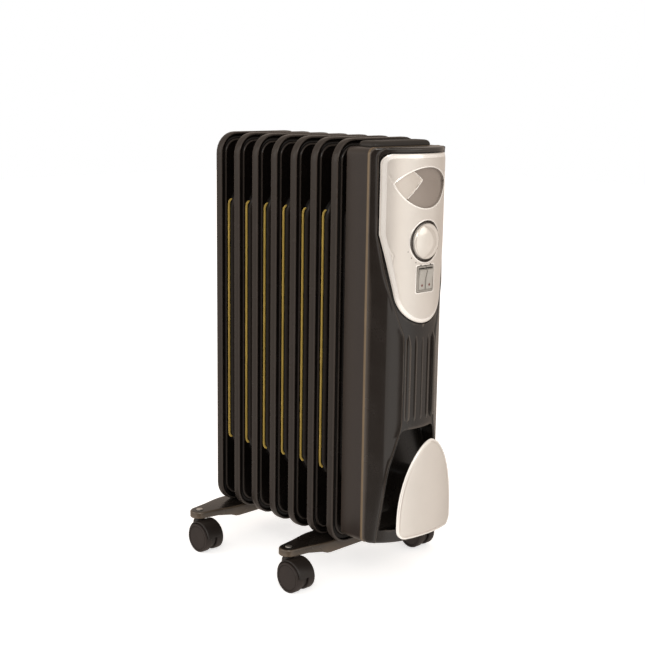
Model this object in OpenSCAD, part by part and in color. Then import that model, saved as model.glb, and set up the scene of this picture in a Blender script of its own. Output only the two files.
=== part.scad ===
// Oil filled radiator heater: seven pressed steel fins on two headers, an electrical
// housing in front of them, and two foot brackets on twin-wheel casters.
// +Z is up, the control panel faces -Y and the floor is at Z = 0.

/* [Fins] */
// Width of one fin
fin_w = 150; // [132:1:180]
// Height of one fin
fin_h = 520; // [500:1:630]
// Height of the fins above the floor
fin_clearance = 54; // [50:1:70]
// Distance from one fin to the next
fin_pitch = 37; // [30:1:46]
// Depth of a fin's rolled rim
rim_depth = 11; // [8:0.5:13]
// Radius of a fin's corners
fin_corner = 29; // [20:1:40]
// Thickness of the pressed sheet
fin_sheet = 1.2; // [0.8:0.1:1.6]
// Width of the pressed oil channel
channel_w = 116; // [90:1:122]
// Depth of the oil channel, outside
channel_depth = 15; // [12.5:0.5:18]
// Radius of the oil channel's corners
channel_corner = 30; // [20:1:40]
// Distance from a fin's end to the oil channel's end
channel_inset = 74; // [70:1:100]
// Outer radius of the header hubs
hub_r = 22; // [20:0.5:26]
// Wall of the header hubs
hub_wall = 2.5; // [1.5:0.5:3.5]
// Distance from a fin's end to a header's centre
header_inset = 48; // [42:1:56]

/* [Housing] */
// Width of the housing
box_w = 134; // [128:1:160]
// Gap from the first fin's middle to the housing
box_gap = 13; // [9:0.5:18]
// Depth of the flat side walls
box_side = 39; // [34:1:56]
// Distance that the front stands past the side walls
front_depth = 33.5; // [31:0.5:38]
// Radius of the front's curve
front_r = 79; // [76:1:92]
// Height of the housing's underside above the floor
box_bottom = 70; // [64:1:76]
// Distance from the fins' top down to the housing's top
box_drop = 9; // [2:1:16]
// Sheet thickness of the metal housing
box_sheet = 1.2; // [0.8:0.1:2]
// Wall of the moulded front cover
cover_wall = 2.4; // [1.8:0.1:3]
// Radius of the housing's corners
box_corner = 9; // [4:1:14]

/* [Control panel] */
// Half the width of the panel at its top
panel_half = 57.5; // [50:0.5:59]
// Distance from the housing's top to the panel's top
panel_drop = 7; // [5:0.5:12]
// Height of the panel
panel_h = 207; // [200:1:215]
// Radius of the panel's rounded lower end
panel_end_r = 43; // [38:1:45]
// Thickness of the panel
panel_t = 1.5; // [1:0.1:2.5]
// Height of the knob's centre below the panel's top
knob_drop = 106; // [98:1:112]
// Radius of the knob
knob_r = 22; // [16:0.5:23]
// Radius of the dish around the knob
dish_r = 25.5; // [24:0.5:28]
// Height of the switch's centre below the panel's top
switch_drop = 152; // [149:1:158]
// Radius of the thermostat spindle
spindle_r = 3; // [2.5:0.25:4]

/* [Cord store] */
// Width of the cord cover at its foot
store_w = 99; // [86:1:103]
// Height of the cord cover
store_h = 125; // [110:1:132]
// Height of the cord cover's foot above the floor
store_bottom = 81; // [79:1:86]
// Distance that the cord cover stands in front of the housing
store_proud = 19; // [14:0.5:26]
// Thickness of the cord cover
store_t = 3; // [2:0.25:4]
// Radius of the power cord that the gland takes
cord_r = 3.6; // [3:0.1:4.5]

/* [Feet] */
// Distance from the middle to a caster's stem
foot_half = 116; // [108:1:130]
// Width of a foot bracket, front to back
bracket_w = 46; // [40:1:50]
// Sheet thickness of a foot bracket
bracket_t = 2; // [1.5:0.25:3]
// Distance from a U-bolt back to its bracket's middle
bracket_shift = 12.5; // [8:0.5:15]
// Radius of a caster wheel
wheel_r = 20; // [17:0.5:20.5]
// Width of one caster wheel
wheel_w = 11; // [8:0.5:13]
// Distance from a caster's stem to its axle
caster_trail = 14; // [10:0.5:16]
// Radius of a caster's stem
stem_r = 3; // [2.5:0.25:3.25]

/* [Hidden] */
$fn = 64;
fin_count = 7;
run_fit = 0.05;       // radial clearance of a shaft that turns
seat_gap = 0.1;       // gap between pieces that are screwed together
part_gap = 0.5;       // gap between pieces that move past each other

fin_base = fin_clearance;
fin_top = fin_base + fin_h;
header_low = fin_base + header_inset;
header_high = fin_top - header_inset;
hub_bore = hub_r - hub_wall;
last_fin_y = (fin_count - 1) * fin_pitch;
rear_hub = rim_depth / 2 + 3;
cap_t = 2.5;
plug_r = 6;
plug_head_t = 3.5;

box_top = fin_top - box_drop;
y_back = -box_gap;
y_side = y_back - box_side;
y_crown = y_side - front_depth;
y_arc = y_crown + front_r;
store_front = y_crown - store_proud;

bracket_front_y = fin_pitch / 2 + bracket_shift;
bracket_rear_y = last_fin_y - fin_pitch / 2 + bracket_shift;
rear_edge = bracket_rear_y + bracket_w / 2;
y_shift = -(store_front + rear_edge) / 2;

panel_top = box_top - panel_drop;
panel_low = panel_top - panel_h;
panel_shoulder = panel_top - 96;
knob_z = panel_top - knob_drop;
switch_z = panel_top - switch_drop;
lens_z = panel_top - 35;
lens_half = 45;
lens_depth = 9;
lens_wall = 1.5;
dish_wall = 1.5;
hub_screw_r = 1.6;
facet_x = box_w / 2 - 18;
facet_y = y_side - 15.5;
flat_x = 30;
flat_y = y_crown + 6.5;

// Hourglass band: half width and height, from the top down
band_waist = 30;
band_waist_top = panel_low - 17;
band_waist_low = 226;
recess_top = 216;
recess_floor = 88;
recess_back = y_crown + 27;
recess_wall = 2;
rib_pitch = 11.2;
rib_w = 3.2;
rib_proud = 1;
hub_half = 17;
hub_h = 34;
store_hub_z = store_bottom + 48;

switch_w = 30;
switch_h = 32;
switch_depth = 20;
switch_lip = 1.4;
rocker_w = 11.6;
rocker_h = 24;
rocker_tilt = 7;
rocker_y = y_crown + 4.5;
rocker_pin_r = 1.5;
rocker_x = 6.6;
rocker_room = 1.5;
rocker_front = 7.6;
rocker_back = 4;

bracket_top = fin_base;
bracket_low = bracket_top - 9;
bracket_deep = bracket_top - 15;
tip_r = 13;
boss_r = 7;
boss_low = bracket_top - 10;
hood_gap = 0.8;
hood_t = 2;
hood_top = wheel_r * 2 + hood_gap + hood_t;
web_half = 3.8;
wheel_in = web_half + 0.7;
wheel_out = wheel_in + wheel_w;
axle_r = 2.5;
ubolt_r = 2.5;
ubolt_leg = hub_r + ubolt_r;
leg_x = ubolt_leg + seat_gap;
nut_h = 5;
nut_r = 5;
wing_l = 18;
wing_t = 2;
stem_foot = 29;
collar_w = 1.6;
collar_t = 1.2;
tread_t = 3;

// ---------- shared shapes ----------

// Moves a shape from the first fin's plane to the object's own origin
module place() translate([0, y_shift, 0]) children();

// Extrudes an X-Z outline from y0 towards the front
module to_front(y0, depth) translate([0, y0, 0]) rotate([90, 0, 0]) linear_extrude(depth) children();

// Round bar along Y from y0 towards the front
module bar_y(x, y0, z, r, depth) translate([x, y0, z]) rotate([90, 0, 0]) cylinder(r = r, h = depth);

// Round bar along X, centred on x
module bar_x(x, y, z, r, length) translate([x, y, z]) rotate([0, 90, 0])
    cylinder(r = r, h = length, center = true);

// Rectangle with round corners, its centre on X = 0, from z0 to z1
module round_box(w, z0, z1, r) {
    translate([-w / 2 + r, z0]) square([w - 2 * r, z1 - z0]);
    translate([-w / 2, z0 + r]) square([w, z1 - z0 - 2 * r]);
    for (x = [-w / 2 + r, w / 2 - r])
        for (z = [z0 + r, z1 - r])
            translate([x, z]) circle(r = r);
}

// ---------- radiator ----------

// Outline of the oil channel with its necks to the two headers, grown by g
module channel_outline(g) {
    round_box(channel_w + 2 * g, fin_base + channel_inset - g, fin_top - channel_inset + g,
        channel_corner + g);
    translate([-hub_r - g, header_low]) square([2 * (hub_r + g), header_high - header_low]);
    for (z = [header_low, header_high])
        translate([0, z]) circle(r = hub_r + g);
}

// One fin; its hubs reach from hub_front ahead of it to hub_back behind it
module fin(index) {
    y = (index - 1) * fin_pitch;
    hub_front = index == 1 ? box_gap : fin_pitch / 2;
    hub_back = index == fin_count ? rear_hub : fin_pitch / 2;
    color([0.07, 0.06, 0.055]) place() translate([0, y, 0]) difference() {
        union() {
            difference() {
                to_front(rim_depth / 2, rim_depth) round_box(fin_w, fin_base, fin_top, fin_corner);
                to_front(rim_depth, 2 * rim_depth)
                    round_box(fin_w - 2 * fin_sheet, fin_base + fin_sheet, fin_top - fin_sheet,
                        fin_corner - fin_sheet);
            }
            to_front(fin_sheet / 2, fin_sheet)
                round_box(fin_w - fin_sheet, fin_base + fin_sheet / 2, fin_top - fin_sheet / 2,
                    fin_corner - fin_sheet / 2);
            to_front(channel_depth / 2, channel_depth) channel_outline(0);
            for (z = [header_low, header_high])
                bar_y(0, hub_back, z, hub_r, hub_front + hub_back);
        }
        to_front(channel_depth / 2 - fin_sheet, channel_depth - 2 * fin_sheet)
            channel_outline(-fin_sheet);
        for (z = [header_low, header_high])
            bar_y(0, hub_back + 1, z, hub_bore, hub_front + hub_back + 2);
    }
}

// Steel discs that close the headers: two at the rear, one at the top in front
module header_caps() {
    color([0.09, 0.08, 0.07]) place() {
        rear_y = last_fin_y + rear_hub;
        bar_y(0, rear_y + cap_t, header_high, hub_r, cap_t);
        difference() {
            bar_y(0, rear_y + cap_t, header_low, hub_r, cap_t);
            bar_y(0, rear_y + cap_t + 1, header_low, plug_r, cap_t + 2);
        }
        bar_y(0, y_back + cap_t, header_high, hub_bore, cap_t);
    }
}

// Plug of the oil filling hole, with a six-sided head
module filler_plug() {
    rear_y = last_fin_y + rear_hub + cap_t;
    color([0.6, 0.58, 0.55]) place() {
        bar_y(0, rear_y, header_low, plug_r, cap_t + 5);
        translate([0, rear_y + plug_head_t, header_low]) rotate([90, 0, 0])
            cylinder(r = plug_r + 3, h = plug_head_t, $fn = 6);
    }
}

element_r = 4;
element_half = 8;
element_pin_r = 2;
pin_l = 12;
gasket_t = 1.5;
flange_t = 4;
flange_y = y_back - box_sheet - gasket_t;
element_end = last_fin_y - fin_pitch;

// Sheathed heating element: two rods in the lower header, joined by a round bend
module heating_element() {
    color([0.55, 0.53, 0.5]) place() {
        for (x = [-element_half, element_half]) {
            bar_y(x, element_end, header_low, element_r, element_end - flange_y);
            bar_y(x, flange_y, header_low, element_pin_r, flange_t + pin_l);
        }
        translate([0, element_end, header_low])
            rotate_extrude(angle = 180) translate([element_half, 0]) circle(r = element_r);
    }
}

// Disc that carries the element, on the inside of the housing's back wall
module element_flange() {
    color([0.5, 0.48, 0.45]) place() difference() {
        bar_y(0, flange_y, header_low, hub_r, flange_t);
        for (x = [-element_half, element_half])
            bar_y(x, flange_y + 1, header_low, element_pin_r, flange_t + 2);
    }
}

// Flat ring between the flange and the housing's back wall
module flange_gasket() {
    color([0.2, 0.15, 0.12]) place() difference() {
        bar_y(0, flange_y + gasket_t, header_low, hub_r, gasket_t);
        bar_y(0, flange_y + gasket_t + 1, header_low, hub_bore - 2, gasket_t + 2);
    }
}

// ---------- housing ----------

// Outline of the housing seen from the front, made smaller by t all round
module box_outline(t) {
    round_box(box_w - 2 * t, box_bottom + t, box_top - t, box_corner - t);
}

screw_x = box_w / 2 - 12.5;
screw_z = [box_bottom + 34, box_top - 24];
screw_hole_r = 2;
screw_head_r = 3.2;
screw_head_t = 2;
screw_l = 16;
pillar_r = 4;
pilot_r = 1.6;
grille_w = 104;
grille_d = 34;
grille_t = 7;

slot_pitch = 13;
slot_w = 6;
slot_l = 16;

// Cutter of one air slot through the top or the underside of the metal box
module air_slot(i, y, z) translate([i * slot_pitch - slot_w / 2, y, z - 5]) cube([slot_w, slot_l, 10]);

// Folded metal box behind the front cover
module housing_shell() {
    color([0.2, 0.17, 0.15]) place() difference() {
        to_front(y_back, box_side) box_outline(0);
        to_front(y_back - box_sheet, box_side) box_outline(box_sheet);
        bar_y(0, 0, header_low, hub_bore - 2, box_side);
        for (x = [-screw_x, screw_x])
            for (z = screw_z)
                bar_y(x, 0, z, screw_hole_r, box_side);
        for (i = [-3:3])
            air_slot(i, y_back - 27, box_top);
        for (i = [-3:1])
            air_slot(i, y_back - 30, box_bottom);
        translate([gland_x, gland_y, box_bottom - 1]) cylinder(r = cord_r + gland_wall + seat_gap, h = 5);
    }
}

// Half widths and heights of the hourglass band, from its foot to its top, made smaller by t
function band_side(t) = [
    [55 - t, box_bottom], [54 - t, recess_floor], [50 - t, 128], [45.5 - t, 165],
    [40.5 - t, 184], [35.5 - t, 202], [band_waist + 1.5 - t, 218], [band_waist - t, band_waist_low],
    [band_waist - t, band_waist_top], [band_waist + 4.5 - t, panel_low - 2],
    [43 - t, panel_low + 24], [51 - t, panel_low + 54], [55.2 - t, panel_low + 79],
    [60 - t, panel_shoulder], [60.5 - t, box_top - 12],
    [box_w / 2 - 16 - t, box_top]];

function mirrored(side) = concat(side,
    [for (i = [len(side) - 1:-1:0]) [-side[i][0], side[i][1]]]);

// Section of the front cover, seen from above, open towards back, with its skin moved in by t
module cover_section(t, back) {
    side = [[box_w / 2 - t, back], [box_w / 2 - t, y_side + t / 2],
        [facet_x - t / 2, facet_y + t], [flat_x - t / 2, flat_y + t]];
    polygon(mirrored(side));
}

// The upright cylinder that the front follows, grown by g
module front_arc(g, z0, z1) translate([0, y_arc, z0]) cylinder(r = front_r + g, h = z1 - z0, $fn = 96);

// Round end and straight flanks of the panel; point where a flank meets the round end
panel_end_z = panel_low + panel_end_r;
flank_angle = atan2(panel_shoulder - panel_end_z, panel_half)
    - acos(panel_end_r / norm([panel_half, panel_shoulder - panel_end_z]));

// Points along an arc, from angle a0 to a1 in steps
function arc_points(x, z, r, a0, a1, steps) =
    [for (i = [0:steps]) let (a = a0 + (a1 - a0) * i / steps) [x + r * cos(a), z + r * sin(a)]];

panel_corner = 12;

// Outline of the control panel, made larger by g
module panel_outline(g) {
    polygon(mirrored(concat(
        arc_points(0, panel_end_z, panel_end_r + g, -90, flank_angle, 14),
        [[panel_half + g, panel_shoulder]],
        arc_points(panel_half - panel_corner, panel_top - panel_corner, panel_corner + g, 0, 90, 6))));
}

lens_rise = 18.5;
lens_drop = 30.5;
lens_r_top = (pow(lens_half, 2) + pow(lens_rise, 2)) / (2 * lens_rise);
lens_r_low = (pow(lens_half, 2) + pow(lens_drop, 2)) / (2 * lens_drop);

// Lens-shaped outline of the recess near the panel's top, made larger by g
module lens_outline(g) {
    intersection() {
        translate([0, lens_z + lens_rise - lens_r_top]) circle(r = lens_r_top + g, $fn = 96);
        translate([0, lens_z - lens_drop + lens_r_low]) circle(r = lens_r_low + g, $fn = 96);
    }
}

// Outline of the cord recess, made larger by g
module recess_outline(g) {
    polygon(mirrored([for (p = band_side(3 - g)) if (p[1] >= recess_floor && p[1] < band_waist_low)
        [p[0], p[1] == recess_floor ? p[1] - g : min(p[1], recess_top) + (p[1] > 210 ? g : 0)]]));
}

// Moulded front: side facets, hourglass band and ribs, with an opening for the recess
module front_cover() {
    color([0.25, 0.22, 0.2]) place() difference() {
        union() {
            difference() {
                union() {
                    intersection() {
                        translate([0, 0, box_bottom]) linear_extrude(box_top - box_bottom)
                            cover_section(0, y_side);
                        to_front(0, -2 * y_crown) box_outline(0);
                    }
                    intersection() {
                        front_arc(0, box_bottom, box_top);
                        to_front(flat_y + 12, front_depth) polygon(mirrored(band_side(0)));
                        to_front(0, -2 * y_crown) box_outline(0);
                    }
                    for (i = [-2:2])
                        translate([i * rib_pitch - rib_w / 2, y_crown - rib_proud, band_waist_low + 4])
                            cube([rib_w, rib_proud + 5, band_waist_top - band_waist_low - 8]);
                }
                translate([0, 0, box_bottom + cover_wall])
                    linear_extrude(box_top - box_bottom - 2 * cover_wall)
                        cover_section(cover_wall, y_side + 1);
            }
            intersection() {
                translate([0, 0, box_bottom]) linear_extrude(box_top - box_bottom)
                    cover_section(cover_wall / 2, 0);
                for (x = [-screw_x, screw_x])
                    for (z = screw_z)
                        bar_y(x, y_back - box_sheet - seat_gap, z, pillar_r, box_side + front_depth);
            }
        }
        to_front(recess_back + recess_wall + seat_gap, 2 * front_depth)
            recess_outline(recess_wall + seat_gap);
        to_front(y_crown + lens_depth + lens_wall + 1.5, front_depth) lens_outline(lens_wall + 0.5);
        bar_y(0, y_crown + 12, knob_z, dish_r + dish_wall + 0.7, front_depth);
        translate([-switch_w / 2 - 0.4, y_crown - 2, switch_z - switch_h / 2 - 0.4])
            cube([switch_w + 0.8, front_depth, switch_h + 0.8]);
        for (x = [-screw_x, screw_x])
            for (z = screw_z)
                bar_y(x, 0, z, pilot_r, box_gap + box_side);
    }
}

// Tray pressed into the front cover's opening; the power cord is stored in it
module cord_recess() {
    color([0.16, 0.14, 0.12]) place() difference() {
        intersection() {
            to_front(recess_back + recess_wall, front_depth) recess_outline(recess_wall);
            front_arc(-cover_wall / 4, box_bottom, box_top);
        }
        to_front(recess_back, front_depth) recess_outline(0);
        bar_y(0, 0, store_hub_z, hub_screw_r + 0.6, front_depth * 3);
    }
}

// Silver control panel with the lens recess, the knob dish and the switch window
module control_panel() {
    skin_in = 0.1;
    color([0.82, 0.8, 0.77]) place() difference() {
        union() {
            intersection() {
                translate([0, y_arc, panel_low]) linear_extrude(panel_h) difference() {
                    circle(r = front_r + panel_t, $fn = 96);
                    circle(r = front_r + skin_in, $fn = 96);
                }
                to_front(y_crown + 35, 60) panel_outline(0);
            }
            intersection() {
                to_front(y_crown + lens_depth + lens_wall, front_depth) lens_outline(lens_wall);
                front_arc(panel_t / 2, panel_low, panel_top);
            }
            bar_y(0, y_crown + 5, knob_z, dish_r + dish_wall, 5);
        }
        to_front(y_crown + lens_depth, front_depth) lens_outline(0);
        bar_y(0, y_crown + 3.5, knob_z, dish_r, front_depth);
        bar_y(0, 0, knob_z, spindle_r + part_gap, -y_crown);
        translate([-switch_w / 2 - 0.2, y_crown - 5, switch_z - switch_h / 2 - 0.2])
            cube([switch_w + 0.4, front_depth, switch_h + 0.4]);
    }
}

// Raised grille on the top of the housing
module top_grille() {
    color([0.12, 0.1, 0.09]) place() difference() {
        translate([0, 0, box_top]) linear_extrude(grille_t)
            polygon([[-grille_w / 2 + 8, y_back - 1], [grille_w / 2 - 8, y_back - 1],
                [grille_w / 2, y_back - 9], [grille_w / 2, y_back - grille_d + 7],
                [grille_w / 2 - 8, y_back - grille_d], [-grille_w / 2 + 8, y_back - grille_d],
                [-grille_w / 2, y_back - grille_d + 7], [-grille_w / 2, y_back - 9]]);
        translate([0, 0, box_top - 1]) linear_extrude(grille_t - 1)
            polygon([[-grille_w / 2 + 5, y_back - 8], [grille_w / 2 - 5, y_back - 8],
                [grille_w / 2 - 5, y_back - grille_d + 6], [-grille_w / 2 + 5, y_back - grille_d + 6]]);
        for (i = [-8:8])
            translate([i * 5.4 - 1.2, y_back - 27, box_top]) cube([2.4, 18, 2 * grille_t]);
    }
}

// Four screws that hold the front cover to the metal box
module housing_screws() {
    color([0.5, 0.5, 0.5]) place()
        for (x = [-screw_x, screw_x])
            for (z = screw_z) {
                bar_y(x, y_back, z, pilot_r, screw_l);
                bar_y(x, y_back + screw_head_t, z, screw_head_r, screw_head_t);
            }
}

// ---------- controls ----------

stat_front = y_crown + 14;
stat_w = 34;
stat_depth = 18;
stat_h = 28;
spindle_tip = y_crown - 5;
knob_back = y_crown + 2.9;
knob_rim = 6;
pointer_w = 6;

// Thermostat with the bush that its spindle turns in
module thermostat_body() {
    color([0.75, 0.7, 0.6]) place() difference() {
        union() {
            translate([-stat_w / 2, stat_front, knob_z - stat_h / 2]) cube([stat_w, stat_depth, stat_h]);
            bar_y(0, stat_front, knob_z, spindle_r + 2.5, 5);
        }
        bar_y(0, stat_front + 12, knob_z, spindle_r + run_fit, 30);
    }
}

// Spindle that the knob turns
module thermostat_spindle() {
    color([0.7, 0.68, 0.6]) place()
        bar_y(0, stat_front + 10, knob_z, spindle_r, stat_front + 10 - spindle_tip);
}

// Round knob with a raised pointer
module thermostat_knob() {
    color([0.85, 0.83, 0.8]) place() difference() {
        union() {
            bar_y(0, knob_back, knob_z, knob_r, knob_rim);
            bar_y(0, knob_back - knob_rim, knob_z, knob_r - 2.5, 3);
            bar_y(0, knob_back - knob_rim - 3, knob_z, knob_r - 7, 2);
            translate([-pointer_w / 2, knob_back - knob_rim - 7, knob_z - knob_r + 3])
                cube([pointer_w, 8, 2 * knob_r - 6]);
        }
        bar_y(0, knob_back + 1, knob_z, spindle_r, knob_back + 1 - spindle_tip);
    }
}

// Frame and contact box of the double rocker switch
module switch_housing() {
    front = y_crown - switch_lip;
    color([0.35, 0.33, 0.3]) place() difference() {
        translate([-switch_w / 2, front, switch_z - switch_h / 2])
            cube([switch_w, switch_depth, switch_h]);
        for (x = [-rocker_x, rocker_x]) {
            translate([x - rocker_w / 2 - part_gap / 2, front - 1, switch_z - rocker_h / 2 - rocker_room])
                cube([rocker_w + part_gap, 16, rocker_h + 2 * rocker_room]);
            bar_x(x, rocker_y, switch_z, rocker_pin_r + run_fit, rocker_w + 1.4);
        }
    }
}

// One rocker with its pivot pins, in the off position
module rocker(x) {
    color([0.3, 0.28, 0.26]) place() translate([0, rocker_y, switch_z]) rotate([rocker_tilt, 0, 0]) {
        translate([x, 0, 0]) rotate([90, 0, 90]) linear_extrude(rocker_w, center = true)
            polygon([[rocker_back, -4], [rocker_back, 4], [-2, rocker_h / 2],
                [-rocker_front, rocker_h / 2], [1.2 - rocker_front, 0],
                [-rocker_front, -rocker_h / 2], [-2, -rocker_h / 2]]);
        bar_x(x, 0, 0, rocker_pin_r, rocker_w + 1);
    }
}
module rocker_left() rocker(-rocker_x);
module rocker_right() rocker(rocker_x);

// Round thermal cut-out on the back wall, close to the lower header
module thermal_cutout() {
    back = y_back - box_sheet;
    z = header_low + 46;
    tab_w = 6;
    tab_t = 0.8;
    color([0.6, 0.58, 0.52]) place() {
        bar_y(0, back, z, 8, 6);
        bar_y(0, back - 6, z, 6, 4);
        for (x = [-3, 3])
            translate([x - tab_t / 2, back - 16, z - tab_w / 2]) cube([tab_t, 6, tab_w]);
    }
}

// Switch that cuts the power when the heater tips over
module tilt_switch() {
    depth = 16;
    cap_depth = 5;
    color([0.12, 0.12, 0.12]) place() translate([30, y_back - box_sheet - depth, box_bottom + 70]) {
        cube([22, depth, 30]);
        translate([7, -cap_depth, 8]) cube([8, cap_depth, 12]);
    }
}

block_w = 56;
block_depth = 15;
block_h = 20;
block_z = header_low + 110;
block_front = y_back - box_sheet - block_depth;
way_z = block_z + block_h / 2;
way_pitch = 13;

// Screw terminal block with four ways
module terminal_block() {
    color([0.85, 0.85, 0.8]) place() difference() {
        translate([-block_w / 2, block_front, block_z]) cube([block_w, block_depth, block_h]);
        for (i = [-1.5:1:1.5])
            bar_y(i * way_pitch, 0, way_z, 2.5, box_gap + box_sheet + block_depth + 5);
    }
}

// One wire made of straight runs, with a small sleeve at each bend
module wire(points) {
    wire_r = 1.6;
    for (i = [0:len(points) - 2]) {
        run = points[i + 1] - points[i];
        translate(points[i]) rotate([0, acos(run[2] / norm(run)), atan2(run[1], run[0])])
            cylinder(r = wire_r, h = norm(run));
    }
    for (i = [1:len(points) - 2])
        translate(points[i]) sphere(r = wire_r + 0.4);
}

// Insulated leads from the terminal block to the switch and to the element
module internal_wiring() {
    loop_y = block_front - 10;
    switch_back = y_crown - switch_lip + switch_depth;
    pin_end = flange_y - flange_t - pin_l;
    color([0.6, 0.15, 0.1]) place() for (s = [-1, 1]) {
        wire([[s * 1.5 * way_pitch, block_front + 8, way_z],
            [s * 1.5 * way_pitch, loop_y, way_z], [s * 34, loop_y, way_z + 50],
            [s * 34, loop_y, switch_z - 30], [s * 8, switch_back + 8, switch_z],
            [s * 8, switch_back, switch_z]]);
        wire([[s * element_half, pin_end, header_low], [s * element_half, pin_end - 8, header_low],
            [s * way_pitch / 2, loop_y, way_z], [s * way_pitch / 2, block_front + 8, way_z]]);
    }
}

// ---------- cord store ----------

gland_x = 40;
gland_y = y_back - 20;
gland_wall = 2.4;

// Bushing in the housing's underside that the power cord comes out of
module cord_gland() {
    color([0.08, 0.08, 0.08]) place() translate([gland_x, gland_y, 0]) difference() {
        union() {
            translate([0, 0, box_bottom - 4]) cylinder(r = cord_r + 4, h = 4);
            translate([0, 0, box_bottom]) cylinder(r = cord_r + gland_wall, h = 10);
        }
        translate([0, 0, box_bottom - 5]) cylinder(r = cord_r + 0.2, h = 20);
    }
}

store_arc_r = 150;
store_shoulder = 22;
store_arc_y = store_front + store_arc_r;

// Half width of the cord cover at height z, made smaller by t
function store_half(z, t) = (store_w / 2 - t)
    * pow(max(0, 1 - pow((z - store_bottom - store_shoulder) / (store_h - store_shoulder - t), 2)), 0.6);

// Outline of the cord cover, made smaller by t
module store_outline(t) {
    steps = 14;
    rise = store_h - store_shoulder - t;
    polygon(mirrored(concat(
        [[store_w / 2 - 14, store_bottom + t], [store_w / 2 - 5 - t, store_bottom + 3 + t],
            [store_w / 2 - 1 - t, store_bottom + 10 + t]],
        [for (i = [0:steps]) let (z = store_bottom + store_shoulder + rise * sin(90 * i / steps))
            [store_half(z, t), z]])));
}

// Hub that the power cord is wound on; its front end follows the cover's back
module cord_reel() {
    depth = recess_back - store_front;
    color([0.1, 0.09, 0.08]) place() difference() {
        intersection() {
            to_front(recess_back, depth) translate([0, store_hub_z]) {
                square([2 * hub_half, hub_h], center = true);
                for (s = [-1, 1])
                    translate([0, s * hub_h / 2]) circle(r = hub_half);
            }
            translate([0, store_arc_y, store_bottom])
                cylinder(r = store_arc_r - store_t - seat_gap, h = store_h, $fn = 96);
        }
        to_front(recess_back - 3, depth) translate([0, store_hub_z])
            difference() {
                square([2 * hub_half - 5, hub_h], center = true);
                circle(r = 6);
            }
        bar_y(0, recess_back + 1, store_hub_z, hub_screw_r + seat_gap, 20);
    }
}

// Silver cover in front of the hub
module cord_cover() {
    color([0.84, 0.82, 0.79]) place() difference() {
        intersection() {
            to_front(0, -2 * store_front) store_outline(0);
            translate([0, store_arc_y, store_bottom - 1])
                cylinder(r = store_arc_r, h = store_h + 2, $fn = 96);
        }
        translate([0, store_arc_y, store_bottom - 2])
            cylinder(r = store_arc_r - store_t, h = store_h + 4, $fn = 96);
    }
}

// Screw through the housing that holds the hub and the cover
module cord_cover_screw() {
    color([0.5, 0.5, 0.5]) place() {
        bar_y(0, recess_back + recess_wall, store_hub_z, hub_screw_r, 18);
        bar_y(0, recess_back + recess_wall + 2.4, store_hub_z, 3.4, 2.4);
    }
}

// ---------- feet ----------

bracket_flat = 66;
arm_from = foot_half - 45;
arm_l = 120;

// Bracket outline: round tips at the stems, full width under the fins
module bracket_outline(t) {
    for (x = [-foot_half, foot_half])
        translate([x, 0]) circle(r = tip_r - t);
    polygon([[-foot_half, tip_r - t], [-bracket_flat, bracket_w / 2 - t],
        [bracket_flat, bracket_w / 2 - t], [foot_half, tip_r - t],
        [foot_half, -tip_r + t], [bracket_flat, -bracket_w / 2 + t],
        [-bracket_flat, -bracket_w / 2 + t], [-foot_half, -tip_r + t]]);
}

// Channel-shaped foot bracket with a socket for each caster
module bracket(y, leg_y) {
    color([0.1, 0.085, 0.075]) place() difference() {
        translate([0, y, 0]) difference() {
            union() {
                difference() {
                    translate([0, 0, bracket_deep]) linear_extrude(bracket_top - bracket_deep)
                        bracket_outline(0);
                    translate([0, 0, bracket_deep - 1])
                        linear_extrude(bracket_top - bracket_deep + 1 - bracket_t)
                            bracket_outline(bracket_t);
                    for (s = [-1, 1])
                        translate([s * (arm_from + arm_l / 2), 0, bracket_low - 10])
                            cube([arm_l, 2 * bracket_w, 20], center = true);
                }
                for (x = [-foot_half, foot_half])
                    translate([x, 0, boss_low]) cylinder(r = boss_r, h = bracket_top - boss_low);
            }
            for (x = [-foot_half, foot_half])
                translate([x, 0, boss_low - 1]) cylinder(r = stem_r + run_fit, h = 20);
        }
        for (x = [-ubolt_leg, ubolt_leg])
            translate([x, leg_y, bracket_deep - 1]) cylinder(r = ubolt_r + 0.3, h = 30);
    }
}
module bracket_front() bracket(bracket_front_y, fin_pitch / 2);
module bracket_rear() bracket(bracket_rear_y, last_fin_y - fin_pitch / 2);

// Round bar over the lower header, with its two legs down through the bracket
module ubolt(y) {
    color([0.5, 0.48, 0.45]) place() translate([0, y, header_low]) {
        rotate([90, 0, 0]) rotate_extrude(angle = 180) translate([leg_x, 0]) circle(r = ubolt_r);
        for (x = [-leg_x, leg_x])
            translate([x, 0, bracket_deep - header_low]) cylinder(r = ubolt_r, h = header_low - bracket_deep);
    }
}
module ubolt_front() ubolt(fin_pitch / 2);
module ubolt_rear() ubolt(last_fin_y - fin_pitch / 2);

// Two wing nuts on the legs of a U-bolt
module wing_nuts(y) {
    color([0.6, 0.58, 0.55]) place()
        for (x = [-leg_x, leg_x])
            translate([x, y, bracket_top - bracket_t - nut_h]) difference() {
                union() {
                    cylinder(r = nut_r, h = nut_h);
                    translate([-wing_l / 2, -wing_t / 2, 0]) cube([wing_l, wing_t, nut_h]);
                }
                translate([0, 0, -1]) cylinder(r = ubolt_r, h = nut_h + 2);
            }
}
module wing_nuts_front() wing_nuts(fin_pitch / 2);
module wing_nuts_rear() wing_nuts(last_fin_y - fin_pitch / 2);

// Steel stem that a caster swivels on
module stem(x, y) {
    color([0.55, 0.53, 0.5]) place() translate([x, y, 0]) {
        translate([0, 0, stem_foot]) cylinder(r = stem_r, h = bracket_top + 1 - stem_foot);
        translate([0, 0, bracket_top + 0.3]) cylinder(r = stem_r + collar_w, h = collar_t);
    }
}

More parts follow.
